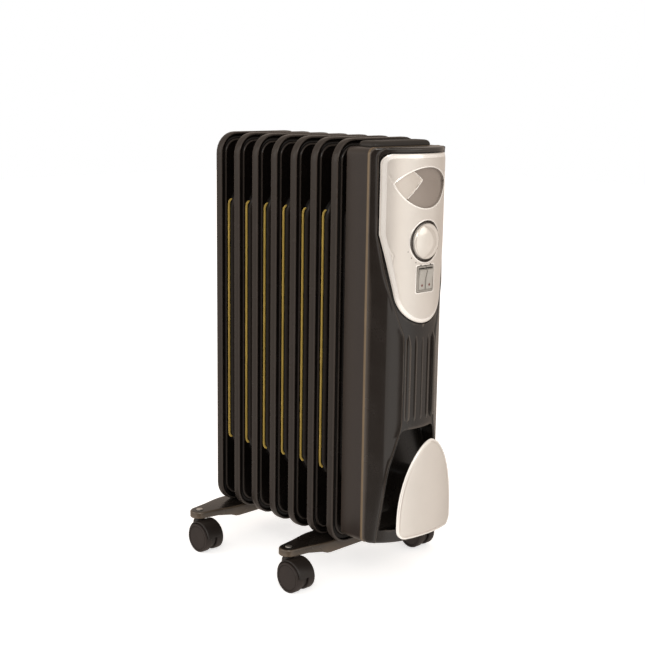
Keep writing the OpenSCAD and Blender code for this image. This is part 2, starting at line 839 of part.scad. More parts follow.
// Hood of a caster: middle web, fender over both wheels, and the stem's socket
module hood(x, y) {
    axle_y = -caster_trail;
    socket_low = wheel_r + 8;
    color([0.1, 0.09, 0.08]) place() translate([x, y, 0]) difference() {
        union() {
            difference() {
                bar_x(0, axle_y, wheel_r, wheel_r + hood_gap + hood_t, 2 * wheel_out - 5);
                bar_x(0, axle_y, wheel_r, wheel_r + hood_gap, 2 * wheel_out);
                translate([-30, axle_y - 40, -2 * wheel_r]) cube([60, 80, 3 * wheel_r + 3]);
            }
            bar_x(0, axle_y, wheel_r, wheel_r - 3, 2 * web_half);
            translate([-web_half, axle_y, wheel_r])
                cube([2 * web_half, caster_trail + 4, hood_top - wheel_r - 3]);
            translate([-web_half, axle_y - 6, wheel_r])
                cube([2 * web_half, 12, hood_top - wheel_r - 1]);
            intersection() {
                translate([0, 0, socket_low])
                    cylinder(r = boss_r, h = boss_low - part_gap - socket_low);
                difference() {
                    translate([-boss_r, -boss_r, 0]) cube([2 * boss_r, 2 * boss_r, boss_low]);
                    bar_x(0, axle_y, wheel_r, wheel_r + hood_gap, 60);
                }
            }
        }
        translate([0, 0, stem_foot]) cylinder(r = stem_r, h = 30);
        bar_x(0, axle_y, wheel_r, axle_r + run_fit, 2 * wheel_out);
    }
}

// The two wheels of a caster, fixed to one axle
module wheels(x, y) {
    color([0.09, 0.08, 0.075]) place() translate([x, y - caster_trail, wheel_r])
        for (s = [-1, 1])
            difference() {
                bar_x(s * (wheel_in + wheel_out) / 2, 0, 0, wheel_r, wheel_w);
                bar_x(s * (wheel_out + 1), 0, 0, wheel_r - tread_t, 3.6);
                bar_x(s * (wheel_in + wheel_out) / 2 - s, 0, 0, axle_r, wheel_w - 2 + 0.001);
            }
}

// Axle pressed into both wheels
module axle(x, y) {
    color([0.6, 0.58, 0.55]) place()
        bar_x(x, y - caster_trail, wheel_r, axle_r, 2 * (wheel_out - 2));
}

module stem_fl() stem(-foot_half, bracket_front_y);
module hood_fl() hood(-foot_half, bracket_front_y);
module wheels_fl() wheels(-foot_half, bracket_front_y);
module axle_fl() axle(-foot_half, bracket_front_y);
module stem_fr() stem(foot_half, bracket_front_y);
module hood_fr() hood(foot_half, bracket_front_y);
module wheels_fr() wheels(foot_half, bracket_front_y);
module axle_fr() axle(foot_half, bracket_front_y);
module stem_rl() stem(-foot_half, bracket_rear_y);
module hood_rl() hood(-foot_half, bracket_rear_y);
module wheels_rl() wheels(-foot_half, bracket_rear_y);
module axle_rl() axle(-foot_half, bracket_rear_y);
module stem_rr() stem(foot_half, bracket_rear_y);
module hood_rr() hood(foot_half, bracket_rear_y);
module wheels_rr() wheels(foot_half, bracket_rear_y);
module axle_rr() axle(foot_half, bracket_rear_y);

fin(1);  // fin_1
fin(2);  // fin_2
fin(3);  // fin_3
fin(4);  // fin_4
fin(5);  // fin_5
fin(6);  // fin_6
fin(7);  // fin_7
header_caps();
filler_plug();
heating_element();
element_flange();
flange_gasket();
housing_shell();
front_cover();
cord_recess();
control_panel();
top_grille();
housing_screws();
thermostat_body();
thermostat_spindle();
thermostat_knob();
switch_housing();
rocker_left();
rocker_right();
thermal_cutout();
tilt_switch();
terminal_block();
internal_wiring();
cord_gland();
cord_reel();
cord_cover();
cord_cover_screw();
bracket_front();
bracket_rear();
ubolt_front();
ubolt_rear();
wing_nuts_front();
wing_nuts_rear();
stem_fl();
hood_fl();
wheels_fl();
axle_fl();
stem_fr();
hood_fr();
wheels_fr();
axle_fr();
stem_rl();
hood_rl();
wheels_rl();
axle_rl();
stem_rr();
hood_rr();
wheels_rr();
axle_rr();
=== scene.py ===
from math import acos, asin, atan2, cos, degrees, hypot, pi, radians, sin, sqrt

import bmesh
import bpy
from mathutils import Matrix, Vector
from mathutils.geometry import delaunay_2d_cdt


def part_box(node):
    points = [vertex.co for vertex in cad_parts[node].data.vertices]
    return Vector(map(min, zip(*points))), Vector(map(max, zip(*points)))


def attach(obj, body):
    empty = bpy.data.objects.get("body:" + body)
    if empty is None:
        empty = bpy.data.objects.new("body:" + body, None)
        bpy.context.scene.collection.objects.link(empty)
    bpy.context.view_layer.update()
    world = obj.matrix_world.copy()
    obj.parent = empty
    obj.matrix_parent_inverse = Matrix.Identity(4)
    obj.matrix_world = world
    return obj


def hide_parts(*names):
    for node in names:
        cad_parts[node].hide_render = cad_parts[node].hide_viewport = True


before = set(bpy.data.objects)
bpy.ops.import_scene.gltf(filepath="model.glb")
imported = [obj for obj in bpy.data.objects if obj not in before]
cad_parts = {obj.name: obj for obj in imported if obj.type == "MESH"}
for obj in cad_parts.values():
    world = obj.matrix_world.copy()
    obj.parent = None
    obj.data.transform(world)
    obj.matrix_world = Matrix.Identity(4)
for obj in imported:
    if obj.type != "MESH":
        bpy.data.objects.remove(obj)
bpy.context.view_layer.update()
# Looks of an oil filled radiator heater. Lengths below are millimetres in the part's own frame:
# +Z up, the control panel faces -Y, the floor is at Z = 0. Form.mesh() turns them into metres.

MM = 0.001
WELD = 0.01 * MM


# --- places taken from the frame ---

def corners(node):
    """Lowest and highest corner of a CAD node, in millimetres."""
    low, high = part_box(node)
    return low / MM, high / MM


fin_low, fin_high = corners("fin_1")
shell_low, shell_high = corners("housing_shell")
panel_low, panel_high = corners("control_panel")
store_low, store_high = corners("cord_cover")
grille_low, grille_high = corners("top_grille")
knob_low, knob_high = corners("thermostat_knob")
switch_low, switch_high = corners("switch_housing")

RIB_PROUD = 1.0
FRONT_R = 79.0
BOX_HALF = shell_high.x
BOX_TOP = shell_high.z
BOX_BOTTOM = shell_low.z
BOX_CORNER = 9.0
Y_BACK = shell_high.y
Y_SIDE = shell_low.y
Y_CROWN = corners("front_cover")[0].y + RIB_PROUD
Y_ARC = Y_CROWN + FRONT_R
PANEL_HALF = panel_high.x
PANEL_TOP = panel_high.z
PANEL_LOW = panel_low.z
PANEL_SHOULDER = PANEL_TOP - 96.0
PANEL_THICK = 1.5
PANEL_R = FRONT_R + PANEL_THICK
KNOB_Z = (knob_low.z + knob_high.z) / 2
SWITCH_Z = (switch_low.z + switch_high.z) / 2
LENS_Z = PANEL_TOP - 35.0


# --- mesh making ---

BOTH = (True, True)
ROW_STEP = 0.866    # height of a triangle of side 1

class Form:
    """Vertices and faces of one piece, in millimetres, with a finish number on each face."""

    def __init__(self):
        self.points = []
        self.faces = []
        self.finish = []

    def add(self, loop):
        start = len(self.points)
        self.points.extend(loop)
        return list(range(start, len(self.points)))

    def face(self, indices, finish=0):
        self.faces.append(indices)
        self.finish.append(finish)

    def loft(self, loops, caps=(False, False), finish=0):
        """Skins a row of loops that have equally many points; caps fill the first and last loop."""
        rows = [self.add(loop) for loop in loops]
        for a, b in zip(rows, rows[1:]):
            for i in range(len(a)):
                j = (i + 1) % len(a)
                self.face([a[i], a[j], b[j], b[i]], finish)
        if caps[0]:
            self.face(rows[0][::-1], finish)
        if caps[1]:
            self.face(rows[-1], finish)

    def patch(self, outer, lift, spacing, holes=(), lines=()):
        """Fills an outline round its holes with small lifted triangles, whose edges follow the lines."""
        def within(point):
            return inside(point, outer) and not any(inside(point, h) for h in holes)

        flat, edges = [], []
        for loop in (outer, *holes):
            start = len(flat)
            flat += [Vector(p) for p in loop]
            edges += [(start + i, start + (i + 1) % len(loop)) for i in range(len(loop))]
        for line in lines:
            start = len(flat)
            flat += [Vector(p) for p in line]
            edges += [(start + i, start + i + 1) for i in range(len(line) - 1)]
        fixed = list(flat)
        xs = [p[0] for p in outer]
        zs = [p[1] for p in outer]
        row = 0
        z = min(zs) + spacing / 2
        while z < max(zs):
            x = min(xs) + (spacing / 2 if row % 2 else 0)
            while x < max(xs):
                here = Vector((x, z))
                if within((x, z)) and min((here - f).length_squared for f in fixed) > (0.6 * spacing) ** 2:
                    flat.append(here)
                x += spacing
            z += spacing * ROW_STEP
            row += 1
        points, _, faces, _, _, _ = delaunay_2d_cdt(flat, edges, [], 0, 1e-6)
        index = self.add([lift(p[0], p[1]) for p in points])
        for f in faces:
            middle = [sum(points[i][k] for i in f) / len(f) for k in (0, 1)]
            if within(middle):
                self.face([index[i] for i in f])

    def mesh(self, name):
        data = bpy.data.meshes.new(name)
        data.from_pydata([Vector(p) * MM for p in self.points], [], self.faces)
        for polygon, number in zip(data.polygons, self.finish):
            polygon.material_index = number
        work = bmesh.new()
        work.from_mesh(data)
        bmesh.ops.remove_doubles(work, verts=work.verts, dist=WELD)
        bmesh.ops.dissolve_degenerate(work, edges=work.edges, dist=WELD / 2)
        loose = [v for v in work.verts if not v.link_faces]
        bmesh.ops.delete(work, geom=loose, context="VERTS")
        bmesh.ops.recalc_face_normals(work, faces=work.faces)
        work.to_mesh(data)
        work.free()
        return data

    def solid(self, name):
        """An object of this shape: a piece, or a cutter for combine()."""
        return add_object(name, self.mesh(name))


def add_object(name, data):
    obj = bpy.data.objects.new(name, data)
    bpy.context.scene.collection.objects.link(obj)
    return obj


def inside(point, outline):
    """True when a flat point lies inside a closed outline."""
    x, z = point[0], point[1]
    found = False
    for i in range(len(outline)):
        ax, az = outline[i][0], outline[i][1]
        bx, bz = outline[i - 1][0], outline[i - 1][1]
        if (az > z) != (bz > z) and x < (bx - ax) * (z - az) / (bz - az) + ax:
            found = not found
    return found


def apply_modifiers(obj):
    """Replaces an object's mesh by what its modifiers make of it."""
    graph = bpy.context.evaluated_depsgraph_get()
    graph.update()
    made = bpy.data.meshes.new_from_object(obj.evaluated_get(graph))
    obj.modifiers.clear()
    obj.data = made


def combine(obj, cutters, operation="DIFFERENCE"):
    """Cuts the cutters out of an object, or adds them to it, and removes them."""
    for cutter in cutters:
        step = obj.modifiers.new("cut", "BOOLEAN")
        step.object = cutter
        step.operation = operation
        step.solver = "EXACT"
        apply_modifiers(obj)
        bpy.data.objects.remove(cutter)
    return obj


def dress(obj, finishes, nodes=(), body="radiator", sharp=32, bevel=0):
    """Gives a piece its edges, shading, materials, body and the CAD nodes it stands for."""
    if bevel:
        step = obj.modifiers.new("bevel", "BEVEL")
        step.width = bevel * MM
        step.segments = 2
        step.limit_method = "ANGLE"
        step.angle_limit = radians(28)
        step.harden_normals = False
        apply_modifiers(obj)
    data = obj.data
    data.polygons.foreach_set("use_smooth", [True] * len(data.polygons))
    data.set_sharp_from_angle(angle=radians(sharp))
    for made in finishes:
        data.materials.append(made)
    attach(obj, body)
    if nodes:
        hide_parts(*nodes)
    return obj


def arc_xz(cx, cz, r, a0, a1, steps):
    """Points of an arc in a flat plane, angles in degrees."""
    turn = [radians(a0 + (a1 - a0) * i / steps) for i in range(steps + 1)]
    return [(cx + r * cos(a), cz + r * sin(a)) for a in turn]


def rounded(a, b, r, cx=0.0, cz=0.0, steps=8):
    """Closed loop of a rectangle with half sides a and b and round corners."""
    loop = []
    for k, (sx, sz) in enumerate(((1, 1), (-1, 1), (-1, -1), (1, -1))):
        loop += arc_xz(cx + sx * (a - r), cz + sz * (b - r), r, 90 * k, 90 * k + 90, steps)
    return loop


def circle(r, cx=0.0, cz=0.0, steps=56):
    return arc_xz(cx, cz, r, 0, 360 - 360 / steps, steps - 1)


def at_y(loop, y):
    return [(x, y, z) for x, z in loop]


def at_z(loop, z):
    return [(x, y, z) for x, y in loop]


def mirrored(points):
    return [(-x, z) for x, z in reversed(points)]


def arc_y(x, r=FRONT_R, centre=Y_ARC):
    """Depth at x of the front of an upright cylinder of radius r."""
    return centre - sqrt(r * r - x * x)


def on_arc(loop, r, centre=Y_ARC):
    """Lays a flat loop on such a cylinder."""
    return [(x, arc_y(x, r, centre), z) for x, z in loop]


def onto_arc(r, centre=Y_ARC):
    """The same for single points, as patch() wants it."""
    return lambda x, z: (x, arc_y(x, r, centre), z)


def full_turn(steps):
    return [2 * pi * i / steps for i in range(steps)]


def lathe(form, profile, place, steps):
    """Turns (radius, height) pairs; place(radius, angle, height) gives each point."""
    form.loft([[place(r, a, h) for a in full_turn(steps)] for r, h in profile], caps=BOTH)


def about_x(cx, cy, cz):
    return lambda r, a, h: (cx + h, cy + r * cos(a), cz + r * sin(a))


def about_y(cx, cy, cz):
    return lambda r, a, h: (cx + r * cos(a), cy + h, cz + r * sin(a))


def about_z(cx, cy, cz):
    return lambda r, a, h: (cx + r * cos(a), cy + r * sin(a), cz + h)


def curve_through(knots, t):
    """Smooth value at t, up to the last knot, through (t, value) knots sorted by t."""
    if t <= knots[0][0]:
        return knots[0][1]
    k = next(i for i in range(len(knots) - 1) if knots[i + 1][0] >= t)

    def slope(i):
        low, high = max(i - 1, 0), min(i + 1, len(knots) - 1)
        return (knots[high][1] - knots[low][1]) / (knots[high][0] - knots[low][0])

    (t0, v0), (t1, v1) = knots[k], knots[k + 1]
    span = t1 - t0
    u = (t - t0) / span
    return ((2 * u**3 - 3 * u**2 + 1) * v0 + (u**3 - 2 * u**2 + u) * span * slope(k)
            + (3 * u**2 - 2 * u**3) * v1 + (u**3 - u**2) * span * slope(k + 1))


# --- materials ---

TONE_SCALE = 30.0
COAT_ROUGH = 0.18
HIGHLIGHT_FROM, HIGHLIGHT_TO = 0.51, 0.60    # pointiness where the painted edge highlight starts, and where it is full


def set_inputs(node, **values):
    """Sets a shader node's inputs; an underscore stands for a space."""
    for key, value in values.items():
        node.inputs[key.replace("_", " ")].default_value = value


def new_node(tree, kind, **values):
    made = tree.nodes.new("ShaderNode" + kind)
    set_inputs(made, **values)
    return made


def finish(name, base, rough, metallic=0.0, coat=0.0, tone=0.12, grain=0.05, scale=900.0,
           spread=0.08, edge_highlight=None, highlight_amount=0.0, specular=0.5):
    """A painted, plated or moulded surface: tone, roughness and fine grain vary over it, and edge_highlight
    paints sharp edges lighter as a painted highlight.
    """
    made = bpy.data.materials.new(name)
    made.use_nodes = True
    tree = made.node_tree
    link = tree.links.new
    shader = tree.nodes["Principled BSDF"]
    set_inputs(shader, Metallic=metallic, Coat_Weight=coat, Coat_Roughness=COAT_ROUGH,
               Specular_IOR_Level=specular)
    place = new_node(tree, "TexCoord")
    broad = new_node(tree, "TexNoise", Scale=TONE_SCALE, Detail=5.0)
    link(place.outputs["Object"], broad.inputs["Vector"])
    ramp = new_node(tree, "ValToRGB")
    for element, position, change in zip(ramp.color_ramp.elements, (0.3, 0.7), (1 - tone, 1 + tone)):
        element.position = position
        element.color = [min(1.0, c * change) for c in base] + [1]
    link(broad.outputs["Fac"], ramp.inputs["Fac"])
    colour = ramp.outputs["Color"]
    # Painted highlight: sharp edges, found by pointiness, are mixed toward the lighter edge_highlight colour.
    if edge_highlight:
        edge = new_node(tree, "NewGeometry")
        pick = new_node(tree, "MapRange", From_Min=HIGHLIGHT_FROM, From_Max=HIGHLIGHT_TO, To_Max=highlight_amount)
        link(edge.outputs["Pointiness"], pick.inputs["Value"])
        mix = new_node(tree, "Mix")
        mix.data_type = "RGBA"
        mix.inputs[7].default_value = list(edge_highlight) + [1]
        link(pick.outputs["Result"], mix.inputs[0])
        link(colour, mix.inputs[6])
        colour = mix.outputs[2]
    link(colour, shader.inputs["Base Color"])
    fine = new_node(tree, "TexNoise", Scale=scale, Detail=3.0)
    link(place.outputs["Object"], fine.inputs["Vector"])
    low, high = max(0.03, rough - spread), min(1.0, rough + spread)
    dull = new_node(tree, "MapRange", To_Min=low, To_Max=high)
    link(broad.outputs["Fac"], dull.inputs["Value"])
    link(dull.outputs["Result"], shader.inputs["Roughness"])
    bump = new_node(tree, "Bump", Strength=grain, Distance=0.0004)
    link(fine.outputs["Fac"], bump.inputs["Height"])
    link(bump.outputs["Normal"], shader.inputs["Normal"])
    return made


def lacquer(name, base, rough, metallic, coat, tone, grain, spread):
    """Silver lacquer, whose grain is finer than the other finishes'."""
    return finish(name, base, rough, metallic, coat, tone, grain, 2600.0, spread)


# Finishes given an edge_highlight colour have their sharp edges painted lighter as a painted highlight.
enamel = finish("enamel_black", (0.0045, 0.0033, 0.0027), 0.26, coat=0.05, tone=0.25,
                scale=420.0, edge_highlight=(0.10, 0.082, 0.07), highlight_amount=0.8, specular=0.12)
# The gold is a painted highlight: warm light caught on the edge of each fin's pressed channel.
highlight_gold = finish("gold_highlight_line", (0.62, 0.43, 0.10), 0.40, metallic=0.2, grain=0.04)
housing = finish("housing_brown", (0.0165, 0.0115, 0.0095), 0.36, coat=0.03, tone=0.10, grain=0.06,
                 scale=600.0, edge_highlight=(0.10, 0.075, 0.05), highlight_amount=0.4, specular=0.4)
# Lighter bronze as a painted highlight on the housing's front edge bead.
bronze_edge_highlight = finish("bronze_edge_highlight", (0.13, 0.09, 0.05), 0.35, metallic=0.2, tone=0.1)
cover_plastic = finish("cover_plastic", (0.0105, 0.0078, 0.0062), 0.25, coat=0.05, tone=0.08,
                       scale=700.0, edge_highlight=(0.13, 0.105, 0.085), highlight_amount=0.8)
# Darker plastic as painted shade in the cord recess, the panel's seat gap and on the cord reel.
recess_shade_plastic = finish("recess_shade_plastic", (0.006, 0.0048, 0.004), 0.26, tone=0.1, grain=0.10,
                        scale=650.0, specular=0.3)
silver = lacquer("silver_lacquer", (0.66, 0.62, 0.575), 0.33, 0.55, 0.15, 0.02, 0.025, 0.04)
# A lighter copy of the silver lacquer, used as a painted highlight on bevels, lips, rims and the lens crease.
silver_highlight = lacquer("silver_highlight", (0.86, 0.83, 0.79), 0.25, 0.45, 0.25, 0.02, 0.02, 0.03)
# Lit and shaded copies of the silver for the lens: the leaf lighter as painted light, the facets darker as
# painted shade.
leaf_silver_lit = lacquer("leaf_silver_lit", (0.55, 0.50, 0.45), 0.30, 0.4, 0.1, 0.03, 0.03, 0.04)
lens_silver_shade = lacquer("lens_silver_shade", (0.28, 0.24, 0.21), 0.34, 0.4, 0.1, 0.03, 0.03, 0.04)
knob_silver = lacquer("knob_silver", (0.70, 0.66, 0.61), 0.20, 0.5, 0.2, 0.03, 0.02, 0.03)
# Dark grey as painted shade in the dish around the knob.
dish_grey_shade = finish("dish_grey_shade", (0.11, 0.095, 0.085), 0.34, metallic=0.3, tone=0.05, grain=0.03)
grey_plastic = finish("grey_plastic", (0.26, 0.24, 0.215), 0.42, tone=0.06, grain=0.08)
rocker_grey = finish("rocker_grey", (0.34, 0.32, 0.29), 0.28, coat=0.2, tone=0.04)
print_dark = finish("print_dark", (0.06, 0.05, 0.045), 0.5, tone=0.05)
print_red = finish("print_red", (0.12, 0.02, 0.013), 0.4, tone=0.05)
grille_dark = finish("grille_dark", (0.010, 0.008, 0.0065), 0.45, tone=0.15, grain=0.2, scale=500.0,
                     edge_highlight=(0.05, 0.038, 0.03), highlight_amount=0.5, specular=0.3)
bracket_black = finish("bracket_black", (0.010, 0.008, 0.0065), 0.28, coat=0.15, tone=0.2, grain=0.08,
                       scale=500.0, edge_highlight=(0.30, 0.22, 0.15), highlight_amount=0.5, specular=0.35)
caster_black = finish("caster_black", (0.011, 0.008, 0.0065), 0.42, tone=0.15, grain=0.15, scale=700.0,
                      specular=0.35)
wheel_black = finish("wheel_black", (0.017, 0.0115, 0.0095), 0.48, tone=0.2, grain=0.2, scale=500.0,
                     specular=0.3)
steel = finish("zinc_steel", (0.55, 0.53, 0.50), 0.32, metallic=0.95, tone=0.1, grain=0.1, spread=0.12)
dull_steel = finish("element_sheath", (0.30, 0.28, 0.26), 0.45, metallic=0.9, tone=0.2, grain=0.1)
rubber = finish("gasket_rubber", (0.02, 0.02, 0.02), 0.75, tone=0.1, grain=0.3, scale=700.0)
phenolic = finish("insulator", (0.62, 0.58, 0.47), 0.5, tone=0.05, grain=0.1)
black_plastic = finish("black_plastic", (0.016, 0.014, 0.013), 0.42, tone=0.1, grain=0.15)
red_wire = finish("wire_insulation", (0.35, 0.03, 0.02), 0.45, tone=0.05)


# --- fins ---

FIN_HALF = fin_high.x
FIN_MID = (fin_low.z + fin_high.z) / 2
FIN_RISE = (fin_high.z - fin_low.z) / 2
FIN_CORNER = 29.0
HUB_R = 22.0
HEADER_INSET = 48.0
HEADER_Z = (fin_low.z + HEADER_INSET, fin_high.z - HEADER_INSET)
# (inset from the fin's outline, height above its middle plane) from the rim to the plate
RIM = ((0.0, 3.4), (0.35, 4.7), (1.1, 5.4), (2.1, 5.4), (2.9, 4.7), (3.2, 2.8), (3.9, 1.5), (5.0, 1.2),
       (7.2, 1.2), (8.2, 1.7), (9.0, 3.2), (9.8, 3.9), (11.0, 3.9), (12.0, 3.2), (12.9, 1.6), (13.8, 1.2))
# (inset from the channel's outline, height) up to the channel's flat
CHANNEL = ((-1.5, 1.2), (-0.6, 1.6), (0.4, 3.4), (1.4, 5.6), (2.6, 6.9), (4.4, 7.4), (6.5, 7.5))
CHANNEL_HALF = 58.0
CHANNEL_INSET = 74.0
CHANNEL_CORNER = 30.0
NECK = ((4.0, 1.0), (3.0, 1.8), (1.5, 4.0), (0.3, 6.2), (-1.5, 7.2), (-4.0, 7.4))    # (grown by, height)
NECK_HALF = 36.0
NECK_SHIFT = 20.0
# The gold line, a painted warm highlight along the channel's edge: (x, distance from its end), both ends
# turned inwards, and its section
LINE_LOW, LINE_HIGH = FIN_MID - 167, FIN_MID + 171
LINE_BEND = ((56.5, 1.0), (57.7, 2.2), (58.9, 4.8), (59.6, 9.0), (59.6, 60.0))
LINE_SECTION = ((1.7, 0.0), (1.35, 0.75), (0.5, 1.15), (-0.5, 1.15), (-1.35, 0.75), (-1.7, 0.0), (-1.2, -0.8),
                (1.2, -0.8))


def fin_face(y, side):
    """One pressed face of a fin, on side -1 (front) or 1 (rear)."""
    loops = []
    for steps, half, rise, corner in ((RIM, FIN_HALF, FIN_RISE, FIN_CORNER),
                                      (CHANNEL, CHANNEL_HALF, FIN_RISE - CHANNEL_INSET, CHANNEL_CORNER)):
        for inset, height in steps:
            loop = rounded(half - inset, rise - inset, max(corner - inset, 8.0), 0, FIN_MID)
            loops.append(at_y(loop, y + side * height))
    return loops


def neck(form, y, side, z):
    """Pressed neck between the channel and a header's hub."""
    middle = z + (NECK_SHIFT if z < FIN_MID else -NECK_SHIFT)
    form.loft([at_y(rounded(HUB_R + grow, NECK_HALF + grow, HUB_R - 2 + grow, 0, middle, 6),
                    y + side * height) for grow, height in NECK], caps=BOTH)


def hub(form, y, side, z, reach):
    """Header hub with a rolled root, from the plate out to reach."""
    flare = ((HUB_R + 9, 0.8), (HUB_R + 6, 1.5), (HUB_R + 3, 3.2), (HUB_R + 1.2, 5.6), (HUB_R + 0.3, 8.0))
    tip = [(HUB_R, reach - 1.2), (HUB_R - 0.9, reach - 0.02)]
    profile = [(r, h) for r, h in flare if h < reach - 1.5] + tip
    lathe(form, [(r, side * h) for r, h in profile], about_y(0, y, z), 40)


def gold_highlight_line(form, y, side_x):
    """Raised bead along the channel's edge, coloured gold as a painted warm highlight."""
    path = [(x, LINE_LOW + d) for x, d in LINE_BEND] + [(x, LINE_HIGH - d) for x, d in LINE_BEND[::-1]]
    loops = []
    for i, (x, z) in enumerate(path):
        ax, az = path[max(i - 1, 0)]
        bx, bz = path[min(i + 1, len(path) - 1)]
        length = hypot(bx - ax, bz - az)
        nx, nz = (bz - az) / length, -(bx - ax) / length
        thin = 0.45 if i in (0, len(path) - 1) else 1.0
        rise = 5.4 if x < 57 else 4.5 if x < 58 else 3.0
        loops.append([(side_x * (x + nx * s * thin), y - rise - h * thin, z + nz * s * thin)
                      for s, h in LINE_SECTION])
    form.loft(loops, caps=BOTH, finish=1)


lower, upper = corners("fin_2")
half_pitch = (upper.y - lower.y) / 2
for index in range(1, 8):
    node = f"fin_{index}"
    low, high = corners(node)
    y = low.y + half_pitch if index > 1 else high.y - half_pitch
    form = Form()
    front = fin_face(y, -1)
    form.loft(front[::-1], caps=(True, False))
    rear = fin_face(y, 1)
    form.loft([front[0]] + rear, caps=(False, True))
    for z in HEADER_Z:
        for side, reach in ((-1, y - low.y), (1, high.y - y)):
            neck(form, y, side, z)
            hub(form, y, side, z, reach)
    # Gold beads, painted highlights, on every fin but the first.
    if index > 1:
        for side_x in (-1, 1):
            gold_highlight_line(form, y, side_x)
    dress(form.solid(f"radiator_fin_{index}"), [enamel, highlight_gold], [node])


# --- housing ---

AIR_SLOT_PITCH = 13

def box_loop(inset, y):
    """The housing's outline seen from the front, moved in, at depth y."""
    middle = (BOX_TOP + BOX_BOTTOM) / 2
    rise = (BOX_TOP - BOX_BOTTOM) / 2
    return at_y(rounded(BOX_HALF - inset, rise - inset, BOX_CORNER - inset, 0, middle), y)


def slot_cutter(x, y, z, half_x, half_y, half_z):
    form = Form()
    loop = rounded(half_x, half_y, min(half_x, half_y) * 0.95, x, y, 4)
    form.loft([at_z(loop, z - half_z), at_z(loop, z + half_z)], caps=BOTH)
    return form.solid("slot")


def make_shell():
    form = Form()
    outer = [(4.0, Y_BACK), (1.2, Y_BACK - 0.1), (0.3, Y_BACK - 0.6), (0.0, Y_BACK - 1.6),
             (0.0, Y_SIDE + 3.4)]
    form.loft([box_loop(i, y) for i, y in outer], caps=(True, False))
    # The bead at the housing's front edge takes the lighter bronze, a painted highlight.
    bead = [(0.0, Y_SIDE + 3.4), (-0.25, Y_SIDE + 2.6), (-0.3, Y_SIDE + 1.2), (0.0, Y_SIDE + 0.3),
            (0.5, Y_SIDE), (1.2, Y_SIDE + 0.3)]
    form.loft([box_loop(i, y) for i, y in bead], finish=1)
    inner = [(1.2, Y_SIDE + 0.3), (1.2, Y_BACK - 1.4)]
    form.loft([box_loop(i, y) for i, y in inner], caps=(False, True))
    shell = form.solid("housing_box")
    cutters = [slot_cutter(i * AIR_SLOT_PITCH, Y_BACK - 22, BOX_BOTTOM, 3, 8, 6) for i in range(-3, 2)]
    gland_low, gland_high = corners("cord_gland")
    middle = (gland_low + gland_high) / 2
    cutters.append(slot_cutter(middle.x, middle.y, BOX_BOTTOM, 6.1, 6.1, 6))
    combine(shell, cutters)
    dress(shell, [housing, bronze_edge_highlight], ["housing_shell"])


make_shell()

# Half width of the hourglass band by height
BAND_SHOULDER = 59.6
BAND_TOP = 60.5
BAND_TOP_R = 12.0
BAND_LOW = [(BOX_BOTTOM, 55.5), (89, 54.0), (128, 50.0), (165, 45.4), (184, 40.6), (202, 35.7), (216, 31.6),
            (228, 30.0), (334, 30.0), (349, 34.6), (375, 43.0), (405, 51.0), (429, 55.0),
            (PANEL_SHOULDER, BAND_SHOULDER)]
CREASE_X = 49.0
FACET = ((BOX_HALF, Y_SIDE), (CREASE_X, Y_SIDE - 17.2), (30.0, Y_CROWN + 5.6), (0.0, Y_CROWN + 3.0))
EDGE_R = 2.5
COVER_WALL = 2.4


def band_half(z):
    top = BOX_TOP - BAND_TOP_R
    if z > top:
        return BAND_TOP - BAND_TOP_R + sqrt(max(0.0, BAND_TOP_R**2 - (z - top) ** 2))
    if z > PANEL_SHOULDER:
        return BAND_SHOULDER + (BAND_TOP - BAND_SHOULDER) * (z - PANEL_SHOULDER) / (top - PANEL_SHOULDER)
    return curve_through(BAND_LOW, z)


def facet_y(x):
    for (x0, y0), (x1, y1) in zip(FACET, FACET[1:]):
        if x >= x1:
            return y0 + (y1 - y0) * (x0 - x) / (x0 - x1)
    return FACET[-1][1]


def from_end(z):
    return min(BOX_TOP - z, z - BOX_BOTTOM)


def end_inset(z):
    """How far the surface rounds back close to the housing's top and bottom."""
    d = from_end(z)
    return 0.0 if d >= EDGE_R else EDGE_R - sqrt(EDGE_R**2 - (EDGE_R - d) ** 2)


def outline_half(z):
    return BOX_HALF - BOX_CORNER + sqrt(BOX_CORNER**2 - max(0.0, BOX_CORNER - from_end(z)) ** 2)


def edge_half(z):
    """Half width of the band, kept inside the housing's round corners."""
    return min(band_half(z), outline_half(z) - 3.4)


def cover_row(z):
    """Half a section of the front cover at height z, from its side to its middle."""
    w = edge_half(z)
    back = end_inset(z)
    side = outline_half(z) - back
    foot = w + 1.7
    crease = max(CREASE_X, foot + 0.02)
    row = [(side - 1.5, Y_SIDE + 4), (side - 1.5, Y_SIDE + 0.9), (side - 0.3, Y_SIDE + 0.2),
           (side - 0.5, facet_y(side - 0.5) + back)]
    for k in range(1, 5):
        x = side - 0.5 + (crease + 0.6 - side + 0.5) * k / 4
        row.append((x, facet_y(x) + back))
    row.append((crease, facet_y(crease) + 0.12 + back))
    near = crease - 0.6
    for k in range(4):
        x = near + (foot - near) * k / 3 if near > foot else foot + 0.015 * (3 - k)
        row.append((x, facet_y(x) + back))
    for dx, proud in ((1.1, 0.5), (0.55, 1.05), (0.0, 1.25), (-0.6, 1.05), (-1.2, 0.45)):
        row.append((w + dx, min(arc_y(w + dx), facet_y(w + dx)) - proud + back))
    inner = w - 1.8
    for k in range(13):
        x = inner * (1 - k / 12)
        row.append((x, arc_y(x) + back))
    return row


def inner_row(z):
    """Half a section of the cover's inside at height z."""
    w = edge_half(z) - 3.0
    side = outline_half(z) - COVER_WALL
    row = [(side, Y_SIDE + 5), (side, facet_y(side) + COVER_WALL + 1.0)]
    for k in range(1, 5):
        x = side + (w + 1.0 - side) * k / 4
        row.append((x, facet_y(x) + COVER_WALL))
    for k in range(11):
        x = w * (1 - k / 10)
        row.append((x, arc_y(x) + COVER_WALL))
    return row


